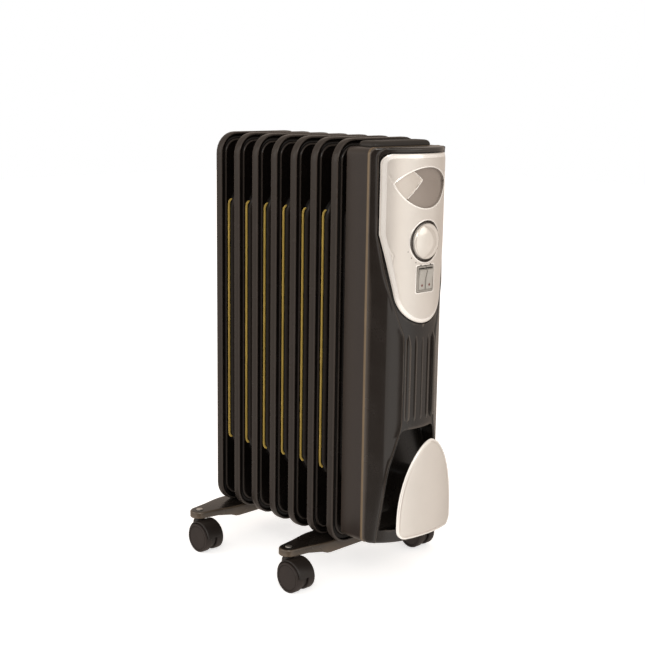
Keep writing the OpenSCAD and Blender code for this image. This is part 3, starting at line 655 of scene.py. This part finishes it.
def cover_rows():
    rows = [BOX_BOTTOM + d for d in (0.0, 0.35, 0.9, 1.6, 2.5, 4.5, 7.0)]
    z = BOX_BOTTOM + 12
    while z < BOX_TOP - 13:
        rows.append(z)
        z += 4.6
    rows += [BOX_TOP - d for d in (12.0, 10.5, 9.0, 7.5, 6.2, 5.0, 4.0, 3.2, 2.5, 1.6, 0.9, 0.35, 0.0)]
    return rows


def full_row(half_row, z):
    left = [(-x, y, z) for x, y in half_row]
    return left + [(x, y, z) for x, y in half_row[-2::-1]]


RECESS_BACK = Y_CROWN + 27.0
RECESS_FOOT = 88.0
RECESS_TOP = 216.0
RECESS_CORNER = 9.0


def recess_half(z, inset):
    return band_half(z) - 3.2 - inset


def recess_loop(inset, low):
    """Outline of the cord recess moved in by inset, with its foot at height low."""
    corner_z = RECESS_TOP - inset - RECESS_CORNER
    heights = [low + (corner_z - low) * k / 16 for k in range(17)]
    half = [(recess_half(h, inset), h) for h in heights]
    half += arc_xz(recess_half(corner_z, inset) - RECESS_CORNER, corner_z, RECESS_CORNER, 12, 90, 6)
    return half + mirrored(half)


PANEL_END_R = 43.0
PANEL_CORNER = 12.0


def panel_end():
    """Centre height of the panel's round end, and the angle where its straight flank leaves it."""
    centre = PANEL_LOW + PANEL_END_R
    rise = PANEL_SHOULDER - centre
    reach = hypot(PANEL_HALF, rise)
    return centre, degrees(atan2(rise, PANEL_HALF) - acos(PANEL_END_R / reach))


def panel_loop(grow):
    """Outline of the control panel made larger by grow."""
    centre, angle = panel_end()
    half = arc_xz(0, centre, PANEL_END_R + grow, -90, angle, 16)
    end_x, end_z = half[-1]
    for k in range(1, 7):
        half.append((end_x + (PANEL_HALF + grow - end_x) * k / 6, end_z + (PANEL_SHOULDER - end_z) * k / 6))
    corner_x, corner_z = PANEL_HALF - PANEL_CORNER, PANEL_TOP - PANEL_CORNER
    for k in range(1, 6):
        half.append((PANEL_HALF + grow, PANEL_SHOULDER + (corner_z - PANEL_SHOULDER) * k / 6))
    half += arc_xz(corner_x, corner_z, PANEL_CORNER + grow, 0, 90, 8)
    for k in range(1, 6):
        half.append((corner_x * (1 - k / 6), PANEL_TOP + grow))
    return half + mirrored(half[1:])


def make_cover():
    """The moulded front: hollow, with the cord recess's tray joined on and the panel's seat cut in."""
    rows = cover_rows()
    form = Form()
    form.loft([full_row(cover_row(z), z) for z in rows], caps=BOTH)
    cover = form.solid("moulded_front")
    hollow = Form()
    inner = [z for z in rows if BOX_BOTTOM + COVER_WALL + 1 < z < BOX_TOP - COVER_WALL - 1]
    hollow.loft([full_row(inner_row(z), z) for z in inner], caps=BOTH)
    combine(cover, [hollow.solid("hollow")])
    tray = Form()
    around = recess_loop(-2, RECESS_FOOT - 2)
    tray.loft([at_y(around, RECESS_BACK + 2), on_arc(around, FRONT_R - 1.2)], caps=(True, False))
    tray.patch(around, onto_arc(FRONT_R - 1.2), 6.0)
    combine(cover, [tray.solid("tray")], "UNION")
    pocket = Form()
    mouth = [on_arc(recess_loop(inset, RECESS_FOOT + inset), FRONT_R + out)
             for inset, out in ((-0.8, 0.1), (-0.2, -0.5), (0.0, -1.4))]
    floor = [at_y(recess_loop(inset, RECESS_FOOT + rise), y)
             for inset, rise, y in ((1.0, 15, RECESS_BACK - 2), (2.6, 18, RECESS_BACK))]
    pocket.loft([at_y(recess_loop(-0.9, RECESS_FOOT - 0.9), Y_CROWN - 6)] + mouth + floor, caps=BOTH)
    combine(cover, [pocket.solid("pocket")])
    seat = Form()
    ledge = [on_arc(panel_loop(grow), FRONT_R + out)
             for grow, out in ((2.3, 0.2), (1.9, -0.4), (1.8, -1.2), (-5, -1.2))]
    seat.loft([at_y(panel_loop(2.3), Y_CROWN - 6)] + ledge + [at_y(panel_loop(-5), Y_CROWN + 40)], caps=BOTH)
    combine(cover, [seat.solid("seat")])
    return cover


def mark_recess(cover):
    """The recess walls and the panel's seat take a darker, glossier finish: the darkness is painted shade in
    these hollows.
    """
    for polygon in cover.data.polygons:
        c = polygon.center / MM
        deep = hypot(c.x, c.y - Y_ARC) < FRONT_R - 0.45
        polygon.material_index = 1 if deep and c.y < Y_SIDE and abs(c.x) < band_half(c.z) - 1.2 else 0


RIB_PITCH = 11.2
RIB_LOW, RIB_HIGH = 230.0, 333.0
# (distance from its middle, share of its height) and (height, share of its height, share of its width)
RIB_SIDE = ((0.35, 1.0), (1.0, 0.92), (1.5, 0.6), (2.4, 0.22), (3.9, 0.0))
RIB_ROWS = ((RIB_LOW - 5.5, 0.0, 0.35), (RIB_LOW - 3, 0.45, 0.6), (RIB_LOW, 0.85, 0.9),
            (RIB_LOW + 4, 1.0, 1.0), (RIB_HIGH - 12, 1.0, 1.0), (RIB_HIGH - 4, 0.8, 0.9),
            (RIB_HIGH + 3, 0.3, 0.6), (RIB_HIGH + 7, 0.0, 0.4))


def add_ribs():
    """Five upright ribs at the waist, their crests on one plane."""
    crest = Y_CROWN - RIB_PROUD + 0.05
    section = mirrored(RIB_SIDE) + list(RIB_SIDE)
    form = Form()
    for k in range(-2, 3):
        x0 = k * RIB_PITCH
        base = arc_y(x0) + 1.0
        loops = []
        for z, share, wide in RIB_ROWS:
            rise = (base - crest) * share
            line = [(x0 + sx * wide, base - rise * h, z) for sx, h in section]
            line += [(x0 + sx * wide, base + 1.5, z) for sx in (section[-1][0], section[0][0])]
            loops.append(line)
        form.loft(loops, caps=BOTH)
    return form.solid("waist_ribs")


cover = make_cover()
mark_recess(cover)
cover.data.update()
dress(cover, [cover_plastic, recess_shade_plastic], ["front_cover", "cord_recess"],
      sharp=30)
dress(add_ribs(), [cover_plastic], sharp=60)


# --- control panel ---

LENS_HALF = 45.0
LENS_RISE = 18.5
LENS_FALL = 30.5


def lens_loop(grow, steps=20):
    """Outline of the lens-shaped recess made larger by grow."""
    loop = []
    for rise, sign in ((LENS_RISE, 1), (LENS_FALL, -1)):
        r = (LENS_HALF**2 + rise**2) / (2 * rise)
        centre = LENS_Z + sign * (rise - r)
        half = degrees(asin(LENS_HALF / r))
        start = 90 - half if sign > 0 else 270 - half
        arc = arc_xz(0, centre, r + grow, start, start + 2 * half, steps)
        loop += arc[:-1]
    return loop


DISH_R = 25.5
SWITCH_HALF = ((switch_high.x - switch_low.x) / 2, (switch_high.z - switch_low.z) / 2)


def lip(form, loops_of):
    """A small raised lip around an opening of the panel, in the lighter silver as a painted highlight:
    loops_of(grow) gives its outline.
    """
    steps = ((1.8, 0.0), (1.4, 0.28), (0.9, 0.42), (0.4, 0.28), (0.0, -0.5))
    form.loft([on_arc(loops_of(grow), PANEL_R + out) for grow, out in steps], finish=1)


def dish_loop(grow):
    return circle(DISH_R + grow, 0, KNOB_Z)


def window_loop(grow):
    return rounded(SWITCH_HALF[0] + 0.3 + grow, SWITCH_HALF[1] + 0.3 + grow, 1.6 + grow, 0, SWITCH_Z, 4)


def make_panel():
    form = Form()
    outer = ((0.0, -1.5), (-0.02, -1.2), (-0.5, -0.95), (-1.2, -0.85), (-5.0, -0.12), (-5.6, 0.0))
    edge = [on_arc(panel_loop(grow), PANEL_R + out) for grow, out in outer]
    form.loft(edge[:4])
    # The bevel band takes the lighter silver as a painted highlight.
    form.loft(edge[3:5], finish=1)
    form.loft(edge[4:])

    def lift(x, z):
        return (x, arc_y(x, PANEL_R) + dent(x, z), z)

    openings = (lens_loop, dish_loop, window_loop)
    creases = [[(x, z + shift) for x, z in between(CREASE_FROM, CREASE_TO, 8)] for shift in (-1.0, 0.0, 1.0)]
    form.patch(panel_loop(-5.6), lift, 3.2, [loops_of(1.8) for loops_of in openings], creases)
    for loops_of in openings:
        lip(form, loops_of)
    back = PANEL_R - PANEL_THICK
    form.patch(panel_loop(0.0), onto_arc(back), 7.0, [loops_of(0.0) for loops_of in openings])
    for loops_of in openings:
        form.loft([on_arc(loops_of(0.0), PANEL_R - 0.5), on_arc(loops_of(0.0), back)])
    return form.solid("panel_skin")


CREASE_FROM = (-PANEL_HALF + 6.6, PANEL_TOP - 25.5)
CREASE_TO = (-48.2, PANEL_TOP - 32.0)


def dent(x, z):
    """Groove from the bevel to the lens, and the shallow crescent between the lens and the knob."""
    if CREASE_FROM[0] - 0.1 <= x <= CREASE_TO[0] + 0.1:
        share = (x - CREASE_FROM[0]) / (CREASE_TO[0] - CREASE_FROM[0])
        return 0.35 * max(0.0, 1 - abs(z - CREASE_FROM[1] - share * (CREASE_TO[1] - CREASE_FROM[1])))
    along = (x + 32.0) / 34.0
    if not 0 < along < 1:
        return 0.0
    crest = PANEL_TOP - 78 + 8.5 * along
    below = crest - z
    if not 0 <= below < 7:
        return 0.0
    return 0.5 * sin(pi * along) * (1 - below / 7)


LENS_APEX = (-5.0, LENS_Z + 3.7)
LENS_UPPER = (-20.6, LENS_Z + 14.4)
LENS_LOWER = (-27.3, LENS_Z - 18.6)
LENS_TIP = (LENS_HALF - 1.5, LENS_Z)


def between(a, b, steps=10):
    return [(a[0] + (b[0] - a[0]) * k / steps, a[1] + (b[1] - a[1]) * k / steps) for k in range(steps + 1)]


def left_of_crease(x, z):
    """How far a point lies left of the bent crease inside the lens."""
    end = LENS_UPPER if z > LENS_APEX[1] else LENS_LOWER
    share = (z - LENS_APEX[1]) / (end[1] - LENS_APEX[1])
    return LENS_APEX[0] + (end[0] - LENS_APEX[0]) * share - x


def lens_depth(x, z):
    """Depth of the lens below the panel: a raised leaf on the left, two slanted facets on the right."""
    left = left_of_crease(x, z)
    if left >= 0:
        return 1.0 + 3.0 * (x + LENS_HALF) / (LENS_HALF + LENS_APEX[0])
    away = min(1.0, (x - LENS_APEX[0] + 20) / (LENS_TIP[0] - LENS_APEX[0] + 20))
    step = 1.6 * min(1.0, -left / 2.0)
    off = abs(z - LENS_APEX[1] + 3.7 * max(0.0, (x - LENS_APEX[0]) / (LENS_TIP[0] - LENS_APEX[0])))
    return 3.6 + step - 3.0 * max(0.0, away) ** 2 - 0.11 * off


def make_lens():
    """The lens-shaped recess: its facets, its steep rim and the bead on the bent crease, in the lighter
    silver as a painted highlight.
    """
    form = Form()

    def sink(x, z, more=0.0):
        return (x, arc_y(x, PANEL_R - PANEL_THICK) + max(0.3, lens_depth(x, z)) + more, z)

    rim = lens_loop(0.0, 28)
    edge = lens_loop(-0.9, 28)
    form.loft([on_arc(rim, PANEL_R - 0.45), [sink(x, z) for x, z in edge]])
    crease = between(LENS_UPPER, LENS_APEX) + between(LENS_APEX, LENS_LOWER)[1:]
    beside = [(x + 1.8, z) for x, z in crease]
    valley = between((LENS_APEX[0] + 3.0, LENS_APEX[1] - 0.2), LENS_TIP, 14)
    form.patch(edge, sink, 2.2, lines=(crease, beside, valley))
    back = [sink(x, z, 1.0) for x, z in lens_loop(0.9, 28)]
    form.loft([on_arc(rim, PANEL_R - 0.45), back])
    form.patch(lens_loop(0.9, 28), lambda x, z: sink(x, z, 1.0), 6.0)
    path = [sink(x, z) for x, z in crease]
    # The bead on the crease is the lighter silver, a painted highlight.
    section = [(-0.9, 0.1), (-0.6, -0.6), (0.0, -0.9), (0.6, -0.6), (0.9, 0.2), (0.0, 0.7)]
    form.loft([[(x + dx, y + dy, z) for dx, dy in section] for x, y, z in path], caps=BOTH, finish=1)
    return form.solid("lens_facets")


def make_dish():
    """Round dish behind the knob, with the spindle's hole in its floor; its dark grey is painted shade around
    the knob.
    """
    form = Form()
    depth = ((DISH_R - 0.4, 1.0), (DISH_R - 0.9, 2.2), (DISH_R - 2.0, 3.2), (16.0, 3.4), (4.0, 3.4),
             (4.0, 4.6), (DISH_R, 4.6))
    edge = on_arc(dish_loop(0.0), PANEL_R - 0.45)
    inside_of = [at_y(circle(r, 0, KNOB_Z), Y_CROWN + back) for r, back in depth]
    form.loft([edge] + inside_of + [on_arc(dish_loop(0.5), PANEL_R - 1.6), edge])
    return form.solid("knob_dish")


def make_marks():
    """Plain round dots around the dial, larger towards the high end."""
    form = Form()
    for k in range(6):
        angle = radians(202 + 17 * k)
        size = 0.6 + 0.07 * k
        cx = (DISH_R + 4.6) * cos(angle)
        cz = KNOB_Z + (DISH_R + 4.6) * sin(angle)
        ring = circle(size, cx, cz, 14)
        small = circle(size * 0.7, cx, cz, 14)
        form.loft([on_arc(ring, PANEL_R - 0.1), on_arc(ring, PANEL_R + 0.05), on_arc(small, PANEL_R + 0.09)],
                  caps=BOTH)
    return form.solid("dial_marks")


dress(make_panel(), [silver, silver_highlight], ["control_panel"], sharp=24)
lens = make_lens()
# Facets right of the crease keep the darker silver as painted shade; the leaf left of it takes the lighter
# one as painted light.
for polygon in lens.data.polygons:
    spot = polygon.center / MM
    if polygon.material_index == 0 and left_of_crease(spot.x, spot.z) > 0:
        polygon.material_index = 2
dress(lens, [lens_silver_shade, silver_highlight, leaf_silver_lit], sharp=9)
dress(make_dish(), [dish_grey_shade], sharp=30)
dress(make_marks(), [print_dark])


# --- knob ---

def make_knob():
    """Domed knob with a sunken crescent whose curved edge is the pointer."""
    radius = (knob_high.x - knob_low.x) / 2
    back = knob_high.y
    form = Form()

    def height(x, z):
        r = hypot(x, z) / radius
        dome = 4.6 * (1 - r**2.4)
        edge = 5.5 - z * z / 30.0
        sunk = min(1.0, max(0.0, (x - edge) / 1.2))
        sunk = sunk * sunk * (3 - 2 * sunk)
        return 6.2 + dome - sunk * min(0.9 + 0.16 * (x - edge), 0.9 + 0.7 * dome)

    def ring(r, top=None):
        flat = [(r * cos(a), r * sin(a)) for a in full_turn(96)]
        return [(x, back - (height(x, z) if top is None else top), KNOB_Z + z) for x, z in flat]

    skirt = [ring(3.2, 0.0)] + [ring(radius - inset, top) for inset, top in (
        (2.0, 0.0), (0.6, 0.3), (0.0, 1.0), (0.0, 4.4), (0.25, 5.2), (0.9, 5.8))]
    face = [ring(radius * (1 - k / 30)) for k in range(1, 30)]
    form.loft([ring(3.2, 4.0)] + skirt + face, caps=BOTH)
    return form.solid("knob_face")


dress(make_knob(), [knob_silver], ["thermostat_knob"], "knob", sharp=30)


# --- switch ---

def make_switch_frame():
    """Frame of the double rocker switch, with a middle bar and a plain bar below the rockers."""
    half_x, half_z = SWITCH_HALF
    form = Form()
    front = switch_low.y
    steps = [(0.0, switch_high.y), (0.0, front + 1.2), (-0.25, front + 0.35), (-0.9, front), (-1.9, front),
             (-2.3, front + 0.5), (-2.4, front + 8)]
    form.loft([at_y(rounded(half_x + grow, half_z + grow, 1.6 + grow * 0.5, 0, SWITCH_Z, 4), y)
               for grow, y in steps], caps=BOTH)
    # Half width, half height, centre height and depth of each bar
    for a, b, z, y in ((0.45, half_z - 2, SWITCH_Z, front + 1.2),
                       (half_x - 2, 0.6, SWITCH_Z - half_z + 2.6, front + 0.8)):
        wide = rounded(a, b, 0.3, 0, z, 2)
        narrow = rounded(a - 0.2, b - 0.2, 0.1, 0, z, 2)
        form.loft([at_y(wide, front + 9), at_y(wide, y + 0.3), at_y(narrow, y)], caps=BOTH)
    return form.solid("switch_frame")


dress(make_switch_frame(), [grey_plastic], ["switch_housing"], sharp=30)

ROCKER_TILT = radians(7)
ROCKER_X = 6.6
ROCKER_Y = Y_CROWN + 4.5
ROCKER_HALF = (5.6, 12.6)


def make_rocker(name, centre_x):
    """One rocker in its off position, with a small coloured mark low on its face."""
    half_w, half_h = ROCKER_HALF
    c, s = cos(ROCKER_TILT), sin(ROCKER_TILT)
    form = Form()

    def place(x, out, up):
        return (centre_x + x, ROCKER_Y - (out * c + up * s), SWITCH_Z + up * c - out * s)

    upper = [(6.45, 2.0), (6.9, 6.0), (7.5, half_h - 1.4), (7.3, half_h - 0.5), (6.4, half_h), (2.2, half_h)]
    face = [(out, -up) for out, up in upper[::-1]] + [(6.4, 0.0)] + upper + [(-3.6, 4.0), (-3.6, -4.0)]
    sides = ((half_w, 0.92), (half_w - 0.15, 0.97), (half_w - 0.6, 1.0))
    form.loft([[place(x, out * shrink, up * (1 - (1 - shrink) * 0.5)) for out, up in face]
               for x, shrink in mirrored(sides)[::-1] + list(sides[::-1])], caps=BOTH)
    mark = [[place(r * cos(a), out, -7.2 + r * sin(a)) for a in full_turn(16)]
            for r, out in ((1.5, 6.6), (1.5, 7.2), (1.1, 7.3))]
    form.loft(mark, caps=BOTH, finish=1)
    return form.solid(name)


for side, centre_x in (("left", -ROCKER_X), ("right", ROCKER_X)):
    dress(make_rocker(f"rocker_key_{side}", centre_x), [rocker_grey, print_red],
          [f"rocker_{side}"], f"rocker_{side}", sharp=30)


# --- cord store cover ---

STORE_HALF = store_high.x
STORE_LOW = store_low.z
STORE_TOP = store_high.z
STORE_R = 150.0
STORE_ARC = store_low.y + STORE_R
STORE_CORNER = 13.0
STORE_SHOULDER = STORE_LOW + 22


def store_loop(inset):
    """Tongue-shaped outline of the cord cover, moved in."""
    rise = STORE_TOP - STORE_SHOULDER - inset
    half = [(x, STORE_LOW + inset) for x in (0.0, 12.0, 24.0)]
    half += arc_xz(STORE_HALF - STORE_CORNER, STORE_LOW + STORE_CORNER, STORE_CORNER - inset, -90, 0, 8)
    for k in range(19):
        share = sin(radians(90 * k / 18))
        x = (STORE_HALF - inset) * max(0.0, 1 - share * share) ** 0.6
        half.append((x, STORE_SHOULDER + rise * share))
    return half + mirrored(half[1:-1])


def make_store():
    rim = ((1.2, 3.0), (0.3, 2.6), (0.0, 1.9), (0.15, 1.0), (0.7, 0.35), (1.5, 0.1), (2.3, 0.15))
    groove = ((2.3, 0.15), (2.7, 0.6), (3.2, 0.62), (3.8, 0.2), (4.6, 0.0))
    form = Form()
    # The rim takes the lighter silver as a painted highlight.
    for steps, number in ((rim, 1), (groove, 0)):
        form.loft([on_arc(store_loop(inset), STORE_R - sunk, STORE_ARC) for inset, sunk in steps],
                  finish=number)
    form.patch(store_loop(4.6), onto_arc(STORE_R, STORE_ARC), 4.0)
    form.patch(store_loop(1.2), onto_arc(STORE_R - 3, STORE_ARC), 7.0)
    return form.solid("cord_store_cover")


dress(make_store(), [silver, silver_highlight], ["cord_cover"], sharp=30)


# --- top grille ---

GRILLE_PITCH = 5.4
GRILLE_EDGE = ((0.1, 4.5), (0.8, 3.0), (2.2, 1.2), (4.2, 0.3), (6.0, 0.0))    # (inset, depth below its top)


def make_grille():
    half_x = grille_high.x
    middle = (grille_low.y + grille_high.y) / 2
    half_y = (grille_high.y - grille_low.y) / 2
    form = Form()
    steps = [(0.0, grille_low.z)] + [(inset, grille_high.z - depth) for inset, depth in GRILLE_EDGE]
    form.loft([at_z(rounded(half_x - inset, half_y - inset, 9 - inset * 0.5, 0, middle, 8), z)
               for inset, z in steps], caps=BOTH)
    grille = form.solid("air_grille")
    combine(grille, [slot_cutter(i * GRILLE_PITCH, middle, grille_high.z, 1.2, 8, 3) for i in range(-8, 9)])
    dress(grille, [grille_dark], ["top_grille"], sharp=35, bevel=0.25)


make_grille()


# --- feet ---

FOOT_HALF = (corners("stem_fr")[0].x + corners("stem_fr")[1].x) / 2
TIP_R = 13.0


def bracket_loop(inset, middle, half_w):
    """Outline of a foot bracket seen from above, moved in."""
    edge = [(40.0, half_w), (62.0, half_w), (68.0, half_w - 0.4), (76.0, half_w - 1.9), (96.0, TIP_R + 3.4)]
    half = [(x, inset - y) for x, y in edge]
    half += arc_xz(FOOT_HALF, 0, TIP_R - inset, -84, 84, 12)
    half += [(x, y - inset) for x, y in edge[::-1]]
    return [(x, y + middle) for x, y in half + mirrored(half)]


def make_bracket(end):
    low, high = corners(f"bracket_{end}")
    middle = (low.y + high.y) / 2
    half_w = (high.y - low.y) / 2
    top = high.z
    form = Form()

    def skirt(x):
        share = min(1.0, max(0.0, (abs(x) - 64) / 22))
        return top - 15 + 6 * share * share * (3 - 2 * share)

    def level(inset, rise=None):
        return [(x, y, skirt(x) if rise is None else top - rise)
                for x, y in bracket_loop(inset, middle, half_w)]

    upper = ((0.0, 2.6), (0.25, 1.4), (0.9, 0.45), (2.0, 0.05), (2.8, 0.0))
    form.loft([level(2.0, 2.0), [(x, y, z + 0.3) for x, y, z in level(1.9)], level(1.6), level(0.4),
               [(x, y, z + 0.5) for x, y, z in level(0.0)]] + [level(*step) for step in upper], caps=BOTH)
    for side in (-1, 1):
        place = about_z(side * FOOT_HALF, middle, 0)
        boss = ((4.4, 1.5), (7.0, 2.2), (7.0, 9.6), (6.6, 10.0), (3.4, 10.0))
        lathe(form, [(r, top - depth) for r, depth in boss], place, 32)
    dress(form.solid(f"foot_{end}"), [bracket_black], [f"bracket_{end}"], sharp=34)


WHEEL_INNER = 4.5
# (radius, depth below the outer face) of a wheel's face, from its hub to its tread
WHEEL_FACE = ((0.01, 0.9), (5.0, 0.75), (14.6, 0.6), (15.6, 0.65), (16.0, 1.1), (16.7, 1.1), (17.2, 0.25),
              (18.4, 0.0), (19.2, 0.15), (19.75, 0.7))
# (radius, distance from the inner face) from the tread to the axle
WHEEL_BACK = ((19.7, 0.7), (19.0, 0.1), (17.5, 0.0), (2.6, 0.0))
HOOD_EDGE = ((0.0, 21.5), (0.25, 22.1), (0.9, 22.6), (2.2, 22.8))    # (inset from its side, radius)
HOOD_INNER_R = 20.85
HOOD_WEB = ((0.01, -3.8), (16.6, -3.8), (17.0, -3.4), (17.0, 3.4), (16.6, 3.8), (0.01, 3.8))
HOOD_BOSS = ((9.2, 34.0), (8.6, 38.6), (7.6, 40.6), (7.1, 41.8))
# (radius, depth below its top) of the riveted stem head
STEM_HEAD = ((3.0, 1.3), (4.5, 1.25), (4.6, 0.9), (4.2, 0.45), (3.2, 0.12), (1.5, 0.01), (0.01, 0.0))


def make_caster(corner):
    """Hood, stem and twin wheels of one caster."""
    stem_low, stem_high = corners(f"stem_{corner}")
    top = corners(f"hood_{corner}")[1].z
    wheel_low, wheel_high = corners(f"wheels_{corner}")
    x = (stem_low.x + stem_high.x) / 2
    y = (stem_low.y + stem_high.y) / 2
    axle_y = (wheel_low.y + wheel_high.y) / 2
    wheel_r = (wheel_high.z - wheel_low.z) / 2
    out = (wheel_high.x - wheel_low.x) / 2
    profile = [(r, out - depth) for r, depth in WHEEL_FACE]
    profile += [(wheel_r, out - 1.8), (wheel_r, WHEEL_INNER + 1.6)]
    profile += [(r, WHEEL_INNER + h) for r, h in WHEEL_BACK]

    wheels = Form()
    for side in (-1, 1):
        lathe(wheels, [(r, side * h) for r, h in profile], about_x(x, axle_y, wheel_r), 64)
    dress(wheels.solid(f"caster_wheels_{corner}"), [wheel_black], [f"wheels_{corner}"],
          f"wheelset_{corner}", sharp=28)

    hood = Form()
    half = out - 2.5
    steps = 26
    outward = [(half - inset, r) for inset, r in HOOD_EDGE]
    sections = []
    for dx, hood_r in mirrored(outward)[::-1] + [(0, HOOD_EDGE[-1][1])] + outward[::-1]:
        outer = arc_xz(-axle_y, wheel_r, hood_r, 8, 172, steps)
        under = arc_xz(-axle_y, wheel_r, HOOD_INNER_R, 8, 172, steps)[::-1]
        sections.append([(x + dx, -back, z) for back, z in outer + under])
    hood.loft(sections)
    for section, flip in ((sections[0], False), (sections[-1], True)):
        index = hood.add(section)
        n = steps + 1
        for i in range(steps):
            quad = [index[i], index[i + 1], index[2 * n - 2 - i], index[2 * n - 1 - i]]
            hood.face(quad[::-1] if flip else quad)
    lathe(hood, HOOD_WEB, about_x(x, axle_y, wheel_r), 40)
    lathe(hood, HOOD_BOSS + ((7.0, top - 0.6), (6.6, top), (3.2, top)), about_z(x, y, 0), 32)
    dress(hood.solid(f"caster_hood_{corner}"), [caster_black], [f"hood_{corner}"],
          f"caster_{corner}")

    stem = Form()
    foot = [(0.01, stem_low.z), (2.6, stem_low.z), (3.0, stem_low.z + 0.5)]
    lathe(stem, foot + [(r, stem_high.z - depth) for r, depth in STEM_HEAD], about_z(x, y, 0), 32)
    dress(stem.solid(f"caster_stem_{corner}"), [steel], [f"stem_{corner}"],
          f"caster_{corner}", sharp=34)


for end in ("front", "rear"):
    make_bracket(end)
for corner in ("fl", "fr", "rl", "rr"):
    make_caster(corner)


# --- CAD nodes that stay ---

KEPT = (
    (steel, "filler_plug element_flange housing_screws thermostat_spindle cord_cover_screw ubolt_front "
            "ubolt_rear wing_nuts_front wing_nuts_rear axle_fl axle_fr axle_rl axle_rr"),
    (phenolic, "thermostat_body thermal_cutout terminal_block"),
    (rubber, "flange_gasket cord_gland"),
    (enamel, "header_caps"), (dull_steel, "heating_element"), (black_plastic, "tilt_switch"),
    (red_wire, "internal_wiring"), (recess_shade_plastic, "cord_reel"),
)
for kept_finish, names in KEPT:
    for node in names.split():
        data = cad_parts[node].data
        data.materials.clear()
        data.materials.append(kept_finish)


# --- camera, floor and light ---

CAMERA_PLACE = (-1.1016, -1.1160, 0.6376)    # metres, as all of this section
CAMERA_ANGLES = (-43.942, 11.187, 0.762)     # azimuth, elevation and roll
CAMERA_LENS = 67.13
FLOOR_HALF = 6.0
FLOOR_GLOW = 0.62
LIGHT_TARGET = (0.0, 0.0, 0.3)
# name, place, side of its square, power, colour
LIGHTS = (("left_back", (-2.4, 1.5, 1.3), 1.6, 14, (1.0, 0.95, 0.9)),
          ("left_front", (-2.1, -2.3, 2.2), 0.9, 26, (1.0, 0.99, 0.97)),
          ("front_right", (0.9, -2.3, 1.5), 1.2, 5, (1.0, 0.95, 0.9)))
WORLD_FRONT = (-0.70, -0.71, 0.0)
WORLD_STRENGTH = 1.25
# The world's light, from opposite WORLD_FRONT to right along it
WORLD_STOPS = ((0.0, (0.50, 0.42, 0.36)), (0.20, (0.40, 0.34, 0.29)), (0.42, (0.62, 0.55, 0.50)),
               (0.62, (0.66, 0.61, 0.56)), (0.80, (0.95, 0.92, 0.88)), (0.93, (1.0, 0.93, 0.86)),
               (0.965, (0.16, 0.13, 0.11)), (1.0, (0.07, 0.05, 0.04)))


def look(azimuth, elevation, roll):
    """Camera axes (right, up, back) for a view from that azimuth and elevation, in degrees."""
    a, e, r = (radians(v) for v in (azimuth, elevation, roll))
    back = Vector((sin(a) * cos(e), -cos(a) * cos(e), sin(e)))
    right = Vector((0, 0, 1)).cross(back).normalized()
    up = back.cross(right)
    return (right * cos(r) + up * sin(r), up * cos(r) - right * sin(r), back)


def add_camera():
    data = bpy.data.cameras.new("camera")
    data.lens = CAMERA_LENS
    data.sensor_width = 36.0
    data.clip_end = 50.0
    camera = add_object("camera", data)
    axes = zip(*look(*CAMERA_ANGLES), CAMERA_PLACE)
    camera.matrix_world = Matrix([*axes, (0, 0, 0, 1)])
    bpy.context.scene.camera = camera


def add_floor():
    data = bpy.data.meshes.new("floor")
    signs = ((-1, -1), (1, -1), (1, 1), (-1, 1))
    data.from_pydata([(sx * FLOOR_HALF, sy * FLOOR_HALF, 0) for sx, sy in signs], [], [(0, 1, 2, 3)])
    floor = add_object("floor", data)
    pale = finish("floor_white", (0.8, 0.8, 0.8), 0.9, tone=0.004, grain=0.0, spread=0.02, specular=0.05)
    set_inputs(pale.node_tree.nodes["Principled BSDF"], Emission_Color=(1, 1, 1, 1),
               Emission_Strength=FLOOR_GLOW)
    data.materials.append(pale)
    floor.visible_glossy = False


def add_light(name, place, size, power, colour):
    data = bpy.data.lights.new(name, "AREA")
    data.size = size
    data.energy = power
    data.color = colour
    light = add_object(name, data)
    light.location = place
    light.rotation_euler = (Vector(LIGHT_TARGET) - Vector(place)).to_track_quat("-Z", "Y").to_euler()


def add_world():
    """Studio light that changes round the object, with a plain white backdrop behind it."""
    world = bpy.data.worlds.new("studio")
    world.use_nodes = True
    tree = world.node_tree
    link = tree.links.new
    around = tree.nodes["Background"]
    around.inputs["Strength"].default_value = WORLD_STRENGTH
    sideways = new_node(tree, "TexCoord")
    toward = new_node(tree, "VectorMath")
    toward.operation = "DOT_PRODUCT"
    toward.inputs[1].default_value = WORLD_FRONT
    link(sideways.outputs["Generated"], toward.inputs[0])
    share = new_node(tree, "MapRange", From_Min=-1.0)
    link(toward.outputs["Value"], share.inputs["Value"])
    ramp = new_node(tree, "ValToRGB")
    link(share.outputs["Result"], ramp.inputs["Fac"])
    elements = ramp.color_ramp.elements
    while len(elements) < len(WORLD_STOPS):
        elements.new(0.5)
    for element, (position, colour) in zip(elements, WORLD_STOPS):
        element.position = position
        element.color = colour + (1,)
    link(ramp.outputs["Color"], around.inputs["Color"])
    backdrop = new_node(tree, "Background", Color=(1, 1, 1, 1))
    seen = new_node(tree, "LightPath")
    mix = new_node(tree, "MixShader")
    link(seen.outputs["Is Camera Ray"], mix.inputs[0])
    link(around.outputs[0], mix.inputs[1])
    link(backdrop.outputs[0], mix.inputs[2])
    link(mix.outputs[0], tree.nodes["World Output"].inputs["Surface"])
    bpy.context.scene.world = world


add_camera()
add_floor()
for light in LIGHTS:
    add_light(*light)
add_world()
bpy.context.scene.view_settings.view_transform = "Standard"
